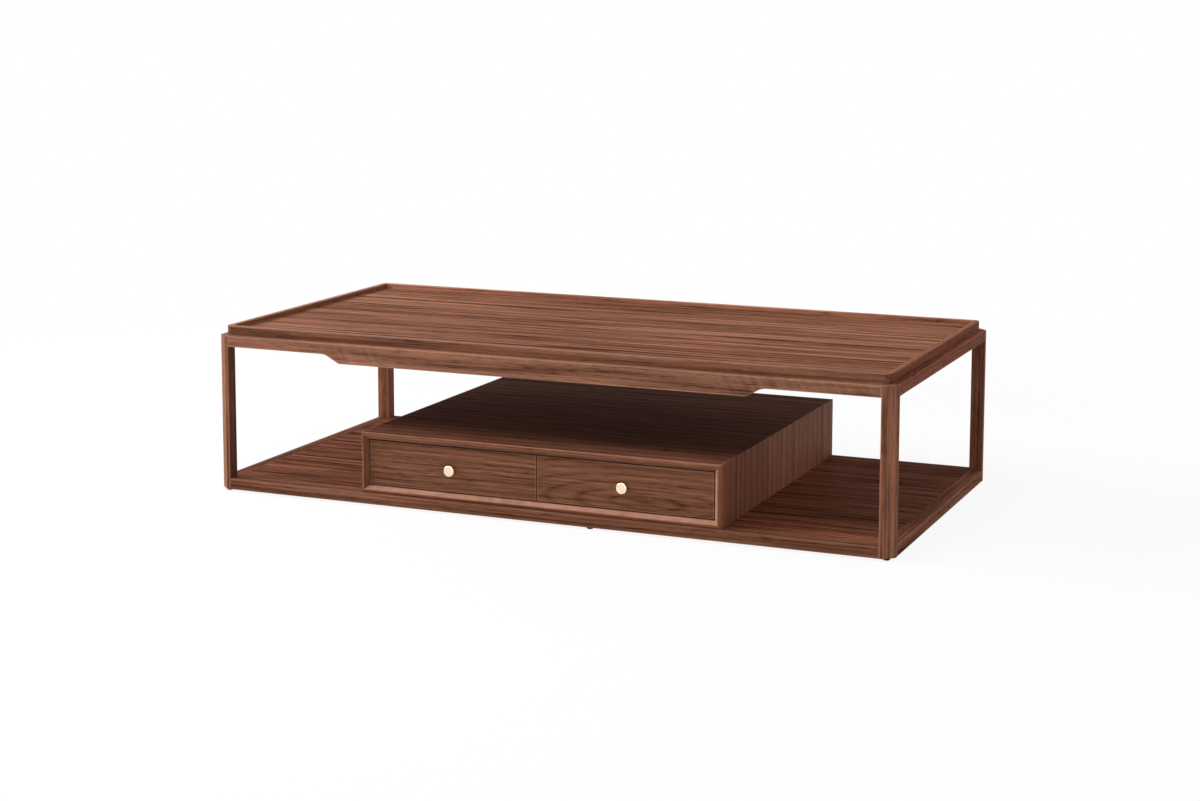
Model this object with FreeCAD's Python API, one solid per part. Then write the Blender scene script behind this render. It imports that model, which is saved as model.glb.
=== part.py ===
import FreeCAD, Part
import math
import os

# A low walnut table: a shallow tray top on four legs with a cut outer corner, a framed
# base shelf between the feet, and a two-drawer cabinet that stands on the shelf.
# Millimetres. X is the length, -Y is the drawer side, +Z is up, the floor is Z = 0.

os.makedirs("parts", exist_ok=True)
Vector = FreeCAD.Vector

# Shares, turns and directions
half_share = 0.5
unit_share = 1.0
full_turn_degrees = 360.0
along_x = Vector(unit_share, 0, 0)
along_y = Vector(0, unit_share, 0)
up = Vector(0, 0, unit_share)

# Overall sizes
table_length = 1400.0
table_width = 700.0
leg_height = 313.0
glide_height = 5.0

# General clearances
cut_overrun = 5.0
fit_clearance = 0.05
panel_gap = 0.5
hole_bottom_gap = 0.3
match_tolerance = 0.001

# Legs
leg_side = 27.0
leg_corner_cut = 18.5
leg_arris = 1.5

# Tenons of the aprons and base rails in the legs
tenon_length = 11.0
tenon_thickness = 8.0
tenon_setback = 12.0
tenon_shoulder = 5.0

# Aprons under the tray
apron_thickness = 20.0
apron_end_height = 22.0
apron_drop = 17.0
apron_end_length = 279.0
apron_slope_run = 30.5
apron_hollow_radius = 36.0
apron_toe_radius = 10.0
apron_arris = 1.5

# Tray: four rims round a sunk panel
tray_inset = 13.5
tray_corner_radius = 14.0
tray_inner_radius = 5.0
tray_depth = 9.0
rim_width = 12.0
rim_height = 18.5
rim_arris = 2.0
top_tongue_length = 5.0
top_tongue_height = 5.0

# Base shelf: four rails round a flush panel
base_height = 22.0
base_arris = 1.5
base_panel_thickness = 12.0
base_tongue_length = 6.0
base_tongue_thickness = 5.0
base_tongue_rise = 2.0

# Battens under the tray and under the base panel
top_batten_width = 40.0
top_batten_height = 18.0
top_batten_end_inset = 230.0
base_batten_width = 60.0
base_batten_end_inset = 74.0
batten_tenon_length = 6.0
batten_tenon_shoulder = 2.5

# Cabinet on the base
cabinet_length = 748.0
cabinet_depth = 694.0
cabinet_height = 120.0
cabinet_board = 14.0
cabinet_back_thickness = 9.0
outer_bevel_width = 5.6
outer_bevel_depth = 3.0
ridge_width = 0.8
inner_bevel_depth = 9.0
divider_thickness = 12.0
divider_housing = 4.0

# Drawers
drawer_gap = 2.0
drawer_back_room = 56.0
drawer_front_thickness = 16.0
drawer_front_arris = 0.8
drawer_side_thickness = 14.0
drawer_side_height = 76.0
drawer_housing = 6.0
drawer_bottom_thickness = 6.0
drawer_bottom_rise = 8.0

# Runner strips on which the drawers slide
runner_height = 10.0
runner_setback = 30.0
runner_end_setback = 10.0
runner_reach = 6.0
runner_housing = 2.5
runner_clearance = 0.3

# Knobs and their screws
knob_foot_radius = 7.0
knob_foot_height = 2.0
knob_stem_radius = 5.0
knob_stem_height = 5.0
knob_head_radius = 11.0
knob_head_height = 9.0
knob_back_round = 2.5
knob_front_round = 3.5
knob_screw_radius = 2.0
knob_screw_grip = 9.0
knob_screw_head_radius = 4.0
knob_screw_head_height = 2.5

# Wood screws
screw_radius = 2.0
screw_head_radius = 4.0
screw_head_height = 3.0
screw_grip = 6.0
screw_offset = 200.0

# Nail glides under the legs and under the long base rails
glide_radius = 7.0
glide_round = 3.5
glide_pin_radius = 1.5
glide_pin_length = 12.0
glide_leg_inset = 16.5
glide_rail_offset = 110.0

# Levels and planes that follow from the sizes
half_length = table_length * half_share
half_width = table_width * half_share
base_bottom = glide_height
base_top = base_bottom + base_height
apron_top = base_bottom + leg_height
apron_end_bottom = apron_top - apron_end_height
apron_low_bottom = apron_end_bottom - apron_drop
apron_low_half_length = half_length - apron_end_length
tray_top = apron_top + rim_height
tray_floor = tray_top - tray_depth
leg_inner_x = half_length - leg_side
leg_inner_y = half_width - leg_side
apron_inner_y = half_width - apron_thickness
top_batten_spacing = half_length - top_batten_end_inset
base_panel_bottom = base_top - base_panel_thickness
cabinet_half_length = cabinet_length * half_share
cabinet_half_depth = cabinet_depth * half_share
cabinet_back_face = cabinet_half_depth - cabinet_back_thickness
base_batten_spacing = cabinet_half_length - base_batten_end_inset
cabinet_top_level = base_top + cabinet_height
opening_half_length = cabinet_half_length - cabinet_board
opening_bottom = base_top + cabinet_board
opening_top = cabinet_top_level - cabinet_board
drawer_face = inner_bevel_depth - cabinet_half_depth
drawer_front_back = drawer_face + drawer_front_thickness
drawer_end = cabinet_back_face - drawer_back_room
drawer_base = opening_bottom + drawer_gap
drawer_top = drawer_base + drawer_side_height
drawer_inner_x = divider_thickness * half_share + drawer_gap
drawer_outer_x = opening_half_length - drawer_gap
front_inner_x = drawer_gap * half_share
knob_x = (front_inner_x + drawer_outer_x) * half_share
knob_level = (opening_bottom + opening_top) * half_share
runner_level = (drawer_base + drawer_top) * half_share
runner_front = drawer_face + runner_setback
runner_end = drawer_end - runner_end_setback
sides = {"left": -unit_share, "right": unit_share}
ends = {"front": -unit_share, "back": unit_share}


def slab(x_ends, y_ends, z_ends):
    """A box between two values on each axis, given in any order."""
    low = Vector(min(x_ends), min(y_ends), min(z_ends))
    high = Vector(max(x_ends), max(y_ends), max(z_ends))
    size = high - low
    return Part.makeBox(size.x, size.y, size.z, low)


def outline(corners, radii):
    """A closed flat face through the corners, each rounded by its own radius."""
    starts = []
    arcs = []
    count = len(corners)
    for i, corner in enumerate(corners):
        before = (corners[i - 1] - corner).normalize()
        after = (corners[(i + 1) % count] - corner).normalize()
        radius = radii[i]
        if not radius:
            starts.append((corner, corner))
            arcs.append(None)
            continue
        opening = before.getAngle(after) * half_share
        reach = radius / math.tan(opening)
        middle = (before + after).normalize()
        inward = radius / math.sin(opening) - radius
        first = corner + before * reach
        last = corner + after * reach
        starts.append((first, last))
        arcs.append(Part.Arc(first, corner + middle * inward, last).toShape())
    edges = []
    for i in range(count):
        if arcs[i]:
            edges.append(arcs[i])
        edges.append(Part.makeLine(starts[i][1], starts[(i + 1) % count][0]))
    return Part.Face(Part.Wire(edges))


def rounded_plate(x_half, y_half, radius, z_ends):
    """A plate centred on the origin with its upright corners rounded."""
    bottom = min(z_ends)
    corners = [
        Vector(-x_half, -y_half, bottom),
        Vector(x_half, -y_half, bottom),
        Vector(x_half, y_half, bottom),
        Vector(-x_half, y_half, bottom),
    ]
    face = outline(corners, [radius] * len(corners))
    return face.extrude(up * (max(z_ends) - bottom))


def turned(profile, radii, foot, direction):
    """A turned solid: (radius, height) pairs about an axis from its foot."""
    corners = [Vector(radius, 0, height) for radius, height in profile]
    solid = outline(corners, radii).revolve(Vector(), up, full_turn_degrees)
    turn = FreeCAD.Rotation(up, direction)
    solid.Placement = FreeCAD.Placement(foot, turn)
    return solid


def eased(solid, radius, chosen):
    """The solid with the edges that pass the test rounded."""
    return solid.makeFillet(radius, [edge for edge in solid.Edges if chosen(edge)])


def lies_at(edge, axis, value):
    """True if the whole edge lies in the plane where the axis has the value."""
    box = edge.BoundBox
    low = getattr(box, axis + "Min")
    high = getattr(box, axis + "Max")
    return abs(low - value) < match_tolerance and abs(high - value) < match_tolerance


def cut_all(solid, tools):
    """The solid with every tool cut from it."""
    for tool in tools:
        solid = solid.cut(tool)
    return solid


def save(name, *solids):
    """Write one node, as one solid or as a group of separate solids."""
    shape = Part.makeCompound(list(solids)) if len(solids) > 1 else solids[0]
    shape.exportStep("parts/" + name + ".step")


def tenon_bar(along, side, z_ends):
    """The bar whose two ends are the tenons of a rail, between the outer legs."""
    low = min(z_ends) + tenon_shoulder
    high = max(z_ends) - tenon_shoulder
    if along == "x":
        cheek = leg_inner_y + tenon_setback
        reach = leg_inner_x + tenon_length
        cheeks = (side * cheek, side * (cheek + tenon_thickness))
        return slab((-reach, reach), cheeks, (low, high))
    cheek = leg_inner_x + tenon_setback
    reach = leg_inner_y + tenon_length
    cheeks = (side * cheek, side * (cheek + tenon_thickness))
    return slab(cheeks, (-reach, reach), (low, high))


apron_levels = (apron_end_bottom, apron_top)
base_levels = (base_bottom, base_top)
leg_mortises = [
    tenon_bar(along, side, levels)
    for along in ("x", "y")
    for side in sides.values()
    for levels in (apron_levels, base_levels)
]


# Glides, with their nails up into the wood
glide_profile = [
    (0, 0),
    (glide_radius, 0),
    (glide_radius, glide_height),
    (glide_pin_radius, glide_height),
    (glide_pin_radius, glide_height + glide_pin_length),
    (0, glide_height + glide_pin_length),
]
glide_rounds = [0, glide_round, 0, 0, 0, 0]
glide_places = [
    Vector(x * (half_length - glide_leg_inset), y * (half_width - glide_leg_inset), 0)
    for x in sides.values()
    for y in ends.values()
]
rail_middle_y = half_width - leg_side * half_share
glide_places += [Vector(-y * glide_rail_offset, y * rail_middle_y, 0) for y in ends.values()]
save("glides", *[turned(glide_profile, glide_rounds, place, up) for place in glide_places])
glide_holes = [
    Part.makeCylinder(
        glide_pin_radius + fit_clearance,
        glide_pin_length + hole_bottom_gap,
        place + up * glide_height,
        up,
    )
    for place in glide_places
]


# Legs: square inside, the outer corner cut flat, mortised for aprons and base rails
def leg(x, y):
    """The leg on the given side and end."""
    near_x = x * leg_inner_x
    near_y = y * leg_inner_y
    far_x = x * half_length
    far_y = y * half_width
    corners = [
        Vector(near_x, near_y, base_bottom),
        Vector(far_x, near_y, base_bottom),
        Vector(far_x, far_y - y * leg_corner_cut, base_bottom),
        Vector(far_x - x * leg_corner_cut, far_y, base_bottom),
        Vector(near_x, far_y, base_bottom),
    ]
    post = outline(corners, [0, 0, leg_arris, leg_arris, 0]).extrude(up * leg_height)

    def is_outer_top(edge):
        centre = edge.CenterOfMass
        outside_x = abs(centre.x) > leg_inner_x + match_tolerance
        outside_y = abs(centre.y) > leg_inner_y + match_tolerance
        return lies_at(edge, "Z", apron_top) and outside_x and outside_y

    return cut_all(eased(post, leg_arris, is_outer_top), leg_mortises + glide_holes)


for end, y in ends.items():
    for side, x in sides.items():
        save("leg_" + end + "_" + side, leg(x, y))


# Battens under the tray, tenoned into the long aprons
batten_screw_profile = [
    (0, 0),
    (screw_head_radius, 0),
    (screw_radius, screw_head_height),
    (screw_radius, top_batten_height + screw_grip),
    (0, top_batten_height + screw_grip),
]
cabinet_screw_length = base_height + screw_grip
cabinet_screw_profile = batten_screw_profile[:3] + [
    (screw_radius, cabinet_screw_length),
    (0, cabinet_screw_length),
]
plain_corners = [0] * len(batten_screw_profile)


def screw_hole(place, length):
    """A clearance hole with a sunk seat for the head."""
    shank = Part.makeCylinder(screw_radius + fit_clearance, length + hole_bottom_gap, place, up)
    head = Part.makeCylinder(screw_head_radius + fit_clearance, screw_head_height, place, up)
    return shank.fuse(head)


def batten(middle, width, reach, z_ends):
    """A cross batten with a stub tenon at each end, centred on X = middle."""
    x_ends = (middle - width * half_share, middle + width * half_share)
    tenon_x = (min(x_ends) + batten_tenon_shoulder, max(x_ends) - batten_tenon_shoulder)
    tenon_z = (min(z_ends) + batten_tenon_shoulder, max(z_ends) - batten_tenon_shoulder)
    tenon_reach = reach + batten_tenon_length
    body = slab(x_ends, (-reach, reach), z_ends)
    tenon = slab(tenon_x, (-tenon_reach, tenon_reach), tenon_z)
    return body.fuse(tenon).removeSplitter()


batten_names = {"left": -unit_share, "middle": 0, "right": unit_share}
top_batten_bottom = apron_top - top_batten_height
batten_screw_places = [
    Vector(place * top_batten_spacing, side * screw_offset, top_batten_bottom)
    for place in batten_names.values()
    for side in ends.values()
]
batten_holes = [screw_hole(place, top_batten_height + screw_grip) for place in batten_screw_places]
cabinet_screw_places = [
    Vector(place * base_batten_spacing, side * screw_offset, base_bottom)
    for place in batten_names.values()
    for side in ends.values()
]
cabinet_holes = [screw_hole(place, cabinet_screw_length) for place in cabinet_screw_places]
batten_screws = [turned(batten_screw_profile, plain_corners, place, up) for place in batten_screw_places]
cabinet_screws = [turned(cabinet_screw_profile, plain_corners, place, up) for place in cabinet_screw_places]
save("batten_screws", *batten_screws)
save("cabinet_screws", *cabinet_screws)

top_battens = {}
base_battens = {}
for name, place in batten_names.items():
    top_battens[name] = batten(
        place * top_batten_spacing, top_batten_width, apron_inner_y, (top_batten_bottom, apron_top)
    )
    base_battens[name] = batten(
        place * base_batten_spacing, base_batten_width, leg_inner_y, (base_bottom, base_panel_bottom)
    )
    save("top_batten_" + name, cut_all(top_battens[name], batten_holes))
    save("base_batten_" + name, cut_all(base_battens[name], cabinet_holes))


# Long aprons: a deeper middle that steps up to the ends through a hollow and a slope
def long_apron(side):
    """A front or back apron with its tenons and the mortises of the battens."""
    face_y = side * half_width
    slope_end = apron_low_half_length + apron_slope_run
    corners = [
        Vector(-leg_inner_x, face_y, apron_top),
        Vector(-leg_inner_x, face_y, apron_end_bottom),
        Vector(-slope_end, face_y, apron_end_bottom),
        Vector(-apron_low_half_length, face_y, apron_low_bottom),
        Vector(apron_low_half_length, face_y, apron_low_bottom),
        Vector(slope_end, face_y, apron_end_bottom),
        Vector(leg_inner_x, face_y, apron_end_bottom),
        Vector(leg_inner_x, face_y, apron_top),
    ]
    steps = [apron_hollow_radius, apron_toe_radius, apron_toe_radius, apron_hollow_radius]
    board = outline(corners, [0, 0] + steps + [0, 0]).extrude(along_y * (-side * apron_thickness))

    def is_face_edge(edge):
        upright = edge.BoundBox.XLength < match_tolerance
        return lies_at(edge, "Y", face_y) and not upright

    board = eased(board, apron_arris, is_face_edge)
    board = board.fuse(tenon_bar("x", side, apron_levels)).removeSplitter()
    return cut_all(board, top_battens.values())


def short_apron(side):
    """A straight end apron with its tenons."""
    outer = side * half_length
    board = slab((outer, outer - side * apron_thickness), (-leg_inner_y, leg_inner_y), apron_levels)

    def is_face_edge(edge):
        upright = edge.BoundBox.YLength < match_tolerance
        return lies_at(edge, "X", outer) and not upright

    board = eased(board, apron_arris, is_face_edge)
    return board.fuse(tenon_bar("y", side, apron_levels)).removeSplitter()


for end, y in ends.items():
    save("apron_" + end, long_apron(y))
for side, x in sides.items():
    save("apron_" + side, short_apron(x))


# Base panel with tongues on its four sides, between the legs
tongue_bottom = base_panel_bottom + base_tongue_rise
tongue_levels = (tongue_bottom, tongue_bottom + base_tongue_thickness)
panel_half_x = leg_inner_x - panel_gap
panel_half_y = leg_inner_y - panel_gap
tongue_reach_x = leg_inner_x + base_tongue_length - panel_gap
tongue_reach_y = leg_inner_y + base_tongue_length - panel_gap
groove_reach_x = leg_inner_x + base_tongue_length
groove_reach_y = leg_inner_y + base_tongue_length
panel_levels = (base_panel_bottom, base_top)
base_panel = slab((-panel_half_x, panel_half_x), (-panel_half_y, panel_half_y), panel_levels)
long_tongue = slab((-tongue_reach_x, tongue_reach_x), (-panel_half_y, panel_half_y), tongue_levels)
cross_tongue = slab((-panel_half_x, panel_half_x), (-tongue_reach_y, tongue_reach_y), tongue_levels)
base_panel = base_panel.fuse(long_tongue).fuse(cross_tongue).removeSplitter()
save("base_panel", cut_all(base_panel, cabinet_holes))
base_grooves = [
    slab((-groove_reach_x, groove_reach_x), (-leg_inner_y, leg_inner_y), tongue_levels),
    slab((-leg_inner_x, leg_inner_x), (-groove_reach_y, groove_reach_y), tongue_levels),
]


# Base rails, flush with the legs, grooved for the panel
def base_rail(along, side):
    """A rail of the base along X or Y, with its tenons, groove and holes."""
    axis = "Y" if along == "x" else "X"
    length_axis = "XLength" if along == "x" else "YLength"
    outer = side * (half_width if along == "x" else half_length)
    inner = outer - side * leg_side
    reach = leg_inner_x if along == "x" else leg_inner_y
    if along == "x":
        board = slab((-reach, reach), (outer, inner), base_levels)
    else:
        board = slab((outer, inner), (-reach, reach), base_levels)

    def is_face_edge(edge):
        upright = getattr(edge.BoundBox, length_axis) < match_tolerance
        return lies_at(edge, axis, outer) and not upright

    board = eased(board, base_arris, is_face_edge)
    board = board.fuse(tenon_bar(along, side, base_levels)).removeSplitter()
    return cut_all(board, base_grooves + glide_holes + list(base_battens.values()))


for end, y in ends.items():
    save("base_rail_" + end, base_rail("x", y))
for side, x in sides.items():
    save("base_rail_" + side, base_rail("y", x))


# Tray: the rims are one mitred ring, rebated below for the panel's tongue
tray_half_x = half_length - tray_inset
tray_half_y = half_width - tray_inset
floor_half_x = tray_half_x - rim_width
floor_half_y = tray_half_y - rim_width
rebate_half_x = floor_half_x + top_tongue_length
rebate_half_y = floor_half_y + top_tongue_length
rebate_levels = (apron_top, apron_top + top_tongue_height)
ring = rounded_plate(tray_half_x, tray_half_y, tray_corner_radius, (apron_top, tray_top))
through_levels = (apron_top - cut_overrun, tray_top + cut_overrun)
ring = ring.cut(rounded_plate(floor_half_x, floor_half_y, tray_inner_radius, through_levels))
ring = eased(ring, rim_arris, lambda edge: lies_at(edge, "Z", tray_top))
ring = ring.cut(slab((-rebate_half_x, rebate_half_x), (-rebate_half_y, rebate_half_y), rebate_levels))


def mitre(x_pairs, y_pairs):
    """An upright wedge between an outer edge and an inner edge of the tray."""
    corners = [Vector(x, y, apron_top - cut_overrun) for x, y in zip(x_pairs, y_pairs)]
    face = outline(corners, [0] * len(corners))
    return face.extrude(up * (rim_height + cut_overrun + cut_overrun))


mitre_depth = rim_width + tray_corner_radius
mitre_inner_x = tray_half_x - mitre_depth
mitre_inner_y = tray_half_y - mitre_depth
for end, y in ends.items():
    x_pairs = (-tray_half_x, tray_half_x, mitre_inner_x, -mitre_inner_x)
    y_pairs = (y * tray_half_y, y * tray_half_y, y * mitre_inner_y, y * mitre_inner_y)
    save("rim_" + end, ring.common(mitre(x_pairs, y_pairs)))
for side, x in sides.items():
    x_pairs = (x * tray_half_x, x * tray_half_x, x * mitre_inner_x, x * mitre_inner_x)
    y_pairs = (-tray_half_y, tray_half_y, mitre_inner_y, -mitre_inner_y)
    save("rim_" + side, ring.common(mitre(x_pairs, y_pairs)))

top_panel = rounded_plate(
    floor_half_x - panel_gap, floor_half_y - panel_gap, tray_inner_radius, (apron_top, tray_floor)
)
top_tongue = slab(
    (panel_gap - rebate_half_x, rebate_half_x - panel_gap),
    (panel_gap - rebate_half_y, rebate_half_y - panel_gap),
    rebate_levels,
)
top_panel = top_panel.fuse(top_tongue).removeSplitter()
save("top_panel", cut_all(top_panel, batten_holes))


# Cabinet shell: four mitred boards whose front edges rise to a ridge between two bevels
def frame_face(y, inset):
    """The cabinet's outline drawn in by the inset, in the plane at y."""
    x = cabinet_half_length - inset
    low = base_top + inset
    high = cabinet_top_level - inset
    points = [Vector(-x, y, low), Vector(x, y, low), Vector(x, y, high), Vector(-x, y, high)]
    return Part.makePolygon(points + points[:1])


ridge_y = -cabinet_half_depth
shoulder_y = ridge_y + outer_bevel_depth
ridge_inner = outer_bevel_width + ridge_width
outer_bevel_ends = [frame_face(ridge_y, outer_bevel_width), frame_face(shoulder_y, 0)]
inner_bevel_ends = [frame_face(ridge_y, ridge_inner), frame_face(drawer_face, cabinet_board)]
outer_bevel = Part.makeLoft(outer_bevel_ends, True)
inner_bevel = Part.makeLoft(inner_bevel_ends, True)
carcass = slab(
    (-cabinet_half_length, cabinet_half_length),
    (shoulder_y, cabinet_half_depth),
    (base_top, cabinet_top_level),
)
hollow = slab(
    (-opening_half_length, opening_half_length),
    (drawer_face, cabinet_half_depth + cut_overrun),
    (opening_bottom, opening_top),
)
shell = carcass.fuse(outer_bevel).removeSplitter().cut(inner_bevel).cut(hollow)

divider = slab(
    (-divider_thickness * half_share, divider_thickness * half_share),
    (drawer_front_back + drawer_gap, cabinet_back_face),
    (opening_bottom - divider_housing, opening_top + divider_housing),
)


def shell_wedge(x_pairs, z_pairs):
    """A mitre wedge through the depth of the cabinet."""
    corners = [Vector(x, ridge_y - cut_overrun, z) for x, z in zip(x_pairs, z_pairs)]
    face = outline(corners, [0] * len(corners))
    return face.extrude(along_y * (cabinet_depth + cut_overrun + cut_overrun))


shell_x = (-cabinet_half_length, cabinet_half_length, opening_half_length, -opening_half_length)
shell_levels = {"top": (cabinet_top_level, opening_top), "bottom": (base_top, opening_bottom)}
for name, (outer, inner) in shell_levels.items():
    board = shell.common(shell_wedge(shell_x, (outer, outer, inner, inner)))
    save("cabinet_" + name, cut_all(board, [divider] + cabinet_holes))


def runner(side, wall_x, face_x):
    """A runner strip housed in a cabinet wall and reaching into a drawer side."""
    direction = math.copysign(unit_share, face_x - wall_x)
    x_ends = (side * (wall_x - direction * runner_housing), side * (face_x + direction * runner_reach))
    z_ends = (runner_level - runner_height * half_share, runner_level + runner_height * half_share)
    return slab(x_ends, (runner_front, runner_end), z_ends)


runners = {}
for side, x in sides.items():
    runners[side + "_outer"] = runner(x, opening_half_length, drawer_outer_x)
    runners[side + "_inner"] = runner(x, divider_thickness * half_share, drawer_inner_x)
for name, strip in runners.items():
    save("runner_" + name, strip)

wall_levels = (base_top, cabinet_top_level, opening_top, opening_bottom)
for side, x in sides.items():
    outer = x * cabinet_half_length
    inner = x * opening_half_length
    board = shell.common(shell_wedge((outer, outer, inner, inner), wall_levels))
    save("cabinet_" + side, cut_all(board, runners.values()))
save("cabinet_divider", cut_all(divider, runners.values()))
save(
    "cabinet_back",
    slab(
        (-opening_half_length, opening_half_length),
        (cabinet_back_face, cabinet_half_depth),
        (opening_bottom, opening_top),
    ),
)


# Drawers: front, two sides, back and bottom, housed into each other
knob_neck = knob_foot_height + knob_stem_height
knob_length = knob_neck + knob_head_height
knob_profile = [
    (0, 0),
    (knob_foot_radius, 0),
    (knob_foot_radius, knob_foot_height),
    (knob_stem_radius, knob_foot_height),
    (knob_stem_radius, knob_neck),
    (knob_head_radius, knob_neck),
    (knob_head_radius, knob_length),
    (0, knob_length),
]
knob_rounds = [0, 0, 0, 0, 0, knob_back_round, knob_front_round, 0]
knob_screw_end = knob_screw_head_height + drawer_front_thickness + knob_screw_grip
knob_screw_profile = [
    (0, 0),
    (knob_screw_head_radius, 0),
    (knob_screw_head_radius, knob_screw_head_height),
    (knob_screw_radius, knob_screw_head_height),
    (knob_screw_radius, knob_screw_end),
    (0, knob_screw_end),
]
knob_screw_rounds = [0] * len(knob_screw_profile)


def drawer(side_name, side):
    """Every piece of one drawer, with its knob and the knob's screw."""
    inner_x = side * drawer_inner_x
    outer_x = side * drawer_outer_x
    inner_face = side * (drawer_inner_x + drawer_side_thickness)
    outer_face = side * (drawer_outer_x - drawer_side_thickness)
    levels = (drawer_base, drawer_top)
    side_y = (drawer_front_back - drawer_housing, drawer_end)
    wall_inner = slab((inner_x, inner_face), side_y, levels)
    wall_outer = slab((outer_x, outer_face), side_y, levels)
    bottom_top = drawer_base + drawer_bottom_rise + drawer_bottom_thickness
    bottom = slab(
        (inner_face - side * drawer_housing, outer_face + side * drawer_housing),
        (drawer_front_back - drawer_housing, drawer_end),
        (drawer_base + drawer_bottom_rise, bottom_top),
    )
    back = slab(
        (inner_face - side * drawer_housing, outer_face + side * drawer_housing),
        (drawer_end - drawer_side_thickness, drawer_end),
        (bottom_top, drawer_top),
    )
    front = slab(
        (side * front_inner_x, outer_x),
        (drawer_face, drawer_front_back),
        (drawer_base, opening_top - drawer_gap),
    )
    front = eased(front, drawer_front_arris, lambda edge: lies_at(edge, "Y", drawer_face))

    knob_foot = Vector(side * knob_x, drawer_face, knob_level)
    screw_foot = Vector(side * knob_x, drawer_front_back + knob_screw_head_height, knob_level)
    knob_hole = Part.makeCylinder(
        knob_screw_radius + fit_clearance,
        knob_screw_end + hole_bottom_gap,
        screw_foot,
        -along_y,
    )
    groove_half = runner_height * half_share + runner_clearance
    groove_depth = runner_reach + runner_clearance
    groove_y = (runner_front - runner_clearance, drawer_end + cut_overrun)
    groove_z = (runner_level - groove_half, runner_level + groove_half)
    inner_groove = slab((inner_x, inner_x + side * groove_depth), groove_y, groove_z)
    outer_groove = slab((outer_x, outer_x - side * groove_depth), groove_y, groove_z)

    name = "drawer_" + side_name
    save(name + "_front", cut_all(front, [wall_inner, wall_outer, bottom, knob_hole]))
    save(name + "_side_inner", cut_all(wall_inner, [bottom, back, inner_groove]))
    save(name + "_side_outer", cut_all(wall_outer, [bottom, back, outer_groove]))
    save(name + "_back", back)
    save(name + "_bottom", bottom)
    knob = turned(knob_profile, knob_rounds, knob_foot, -along_y)
    save("knob_" + side_name, knob.cut(knob_hole))
    save("knob_screw_" + side_name, turned(knob_screw_profile, knob_screw_rounds, screw_foot, -along_y))


for side, x in sides.items():
    drawer(side, x)
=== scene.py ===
"""Looks of the low walnut table: eased boards, figured veneer, turned brass knobs and a plain white studio."""
import logging
import math
from collections.abc import Callable, Mapping, Sequence
from dataclasses import dataclass, replace
from enum import Enum

import bpy
import numpy as np
from mathutils import Euler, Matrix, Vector


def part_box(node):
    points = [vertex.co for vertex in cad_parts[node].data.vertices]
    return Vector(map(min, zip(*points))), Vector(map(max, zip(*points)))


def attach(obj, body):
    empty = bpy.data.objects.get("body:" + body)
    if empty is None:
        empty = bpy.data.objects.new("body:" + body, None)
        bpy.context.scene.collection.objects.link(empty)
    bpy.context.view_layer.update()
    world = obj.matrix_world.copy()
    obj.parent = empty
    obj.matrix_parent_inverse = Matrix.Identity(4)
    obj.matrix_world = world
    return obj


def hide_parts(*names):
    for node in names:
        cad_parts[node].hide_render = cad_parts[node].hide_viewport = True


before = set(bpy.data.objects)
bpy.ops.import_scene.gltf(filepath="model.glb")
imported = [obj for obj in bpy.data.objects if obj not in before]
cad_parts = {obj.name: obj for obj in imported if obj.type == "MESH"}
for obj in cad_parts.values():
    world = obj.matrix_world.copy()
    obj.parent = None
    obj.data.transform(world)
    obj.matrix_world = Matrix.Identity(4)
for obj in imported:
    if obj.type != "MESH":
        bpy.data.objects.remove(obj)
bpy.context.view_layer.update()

LOG = logging.getLogger("low_table")
# Points on an eased arris and once round a turned piece, and rings of the floor.
ARC_STEPS = 6
TURN_STEPS = 72
FLOOR_RINGS = 12
# In metres: the fade of the rubbing and painted highlight beside an arris, the pinhole on a turned piece's axis, a
# width of rubbing and painted highlight that is too thin to show, and the width of a leaf of veneer.
WEAR_AND_HIGHLIGHT_FADE = 0.0016
PINHOLE = 0.0004
HAIRLINE = 0.00001
VENEER_LEAF = 0.163
# Attribute that carries a surface's rubbed edges and painted light, and specular level of a matt lacquer.
WORN_AND_LIT = "worn_and_lit"
MATT = 0.004
# Place in the log of a board with seed 0, and the step to the next seed.
SEED_START = (0.0, 4.6, 0.0)
SEED_STEP = (1.9, 0.83, 0.37)
# Share of red, green and blue that a board's redness of 1 takes away; the redness paints the redder hue of shade.
SHADE_WARMTH_CUT = (0.0, 0.2, 0.3)

Colour = tuple[float, float, float, float]
Triple = tuple[float, float, float]
Socket = bpy.types.NodeSocket

RIGHTWARD = np.array((1.0, 0.0, 0.0))
BACKWARD = np.array((0.0, 1.0, 0.0))
UPWARD = np.array((0.0, 0.0, 1.0))


class Grain(Enum):
    """The way that a board's grain runs, as the turn in degrees that lays it along X."""

    LENGTH = (0.0, 0.0, 0.0)
    DEPTH = (0.0, 0.0, -90.0)
    HEIGHT = (0.0, 90.0, 0.0)


class Body(Enum):
    """The bodies that the pieces ride on."""

    TABLE = "table"
    LEFT_DRAWER = "drawer_left"
    RIGHT_DRAWER = "drawer_right"


class Slot(Enum):
    """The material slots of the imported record."""

    WALNUT = "walnut"
    DRAWER_WOOD = "drawer_wood"
    BRASS = "brass"
    PLASTIC = "black_plastic"
    STEEL = "steel"


class SocketKind(Enum):
    """The kinds of socket on a shader node group."""

    VALUE = "NodeSocketFloat"
    VECTOR = "NodeSocketVector"
    COLOUR = "NodeSocketColor"


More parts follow.
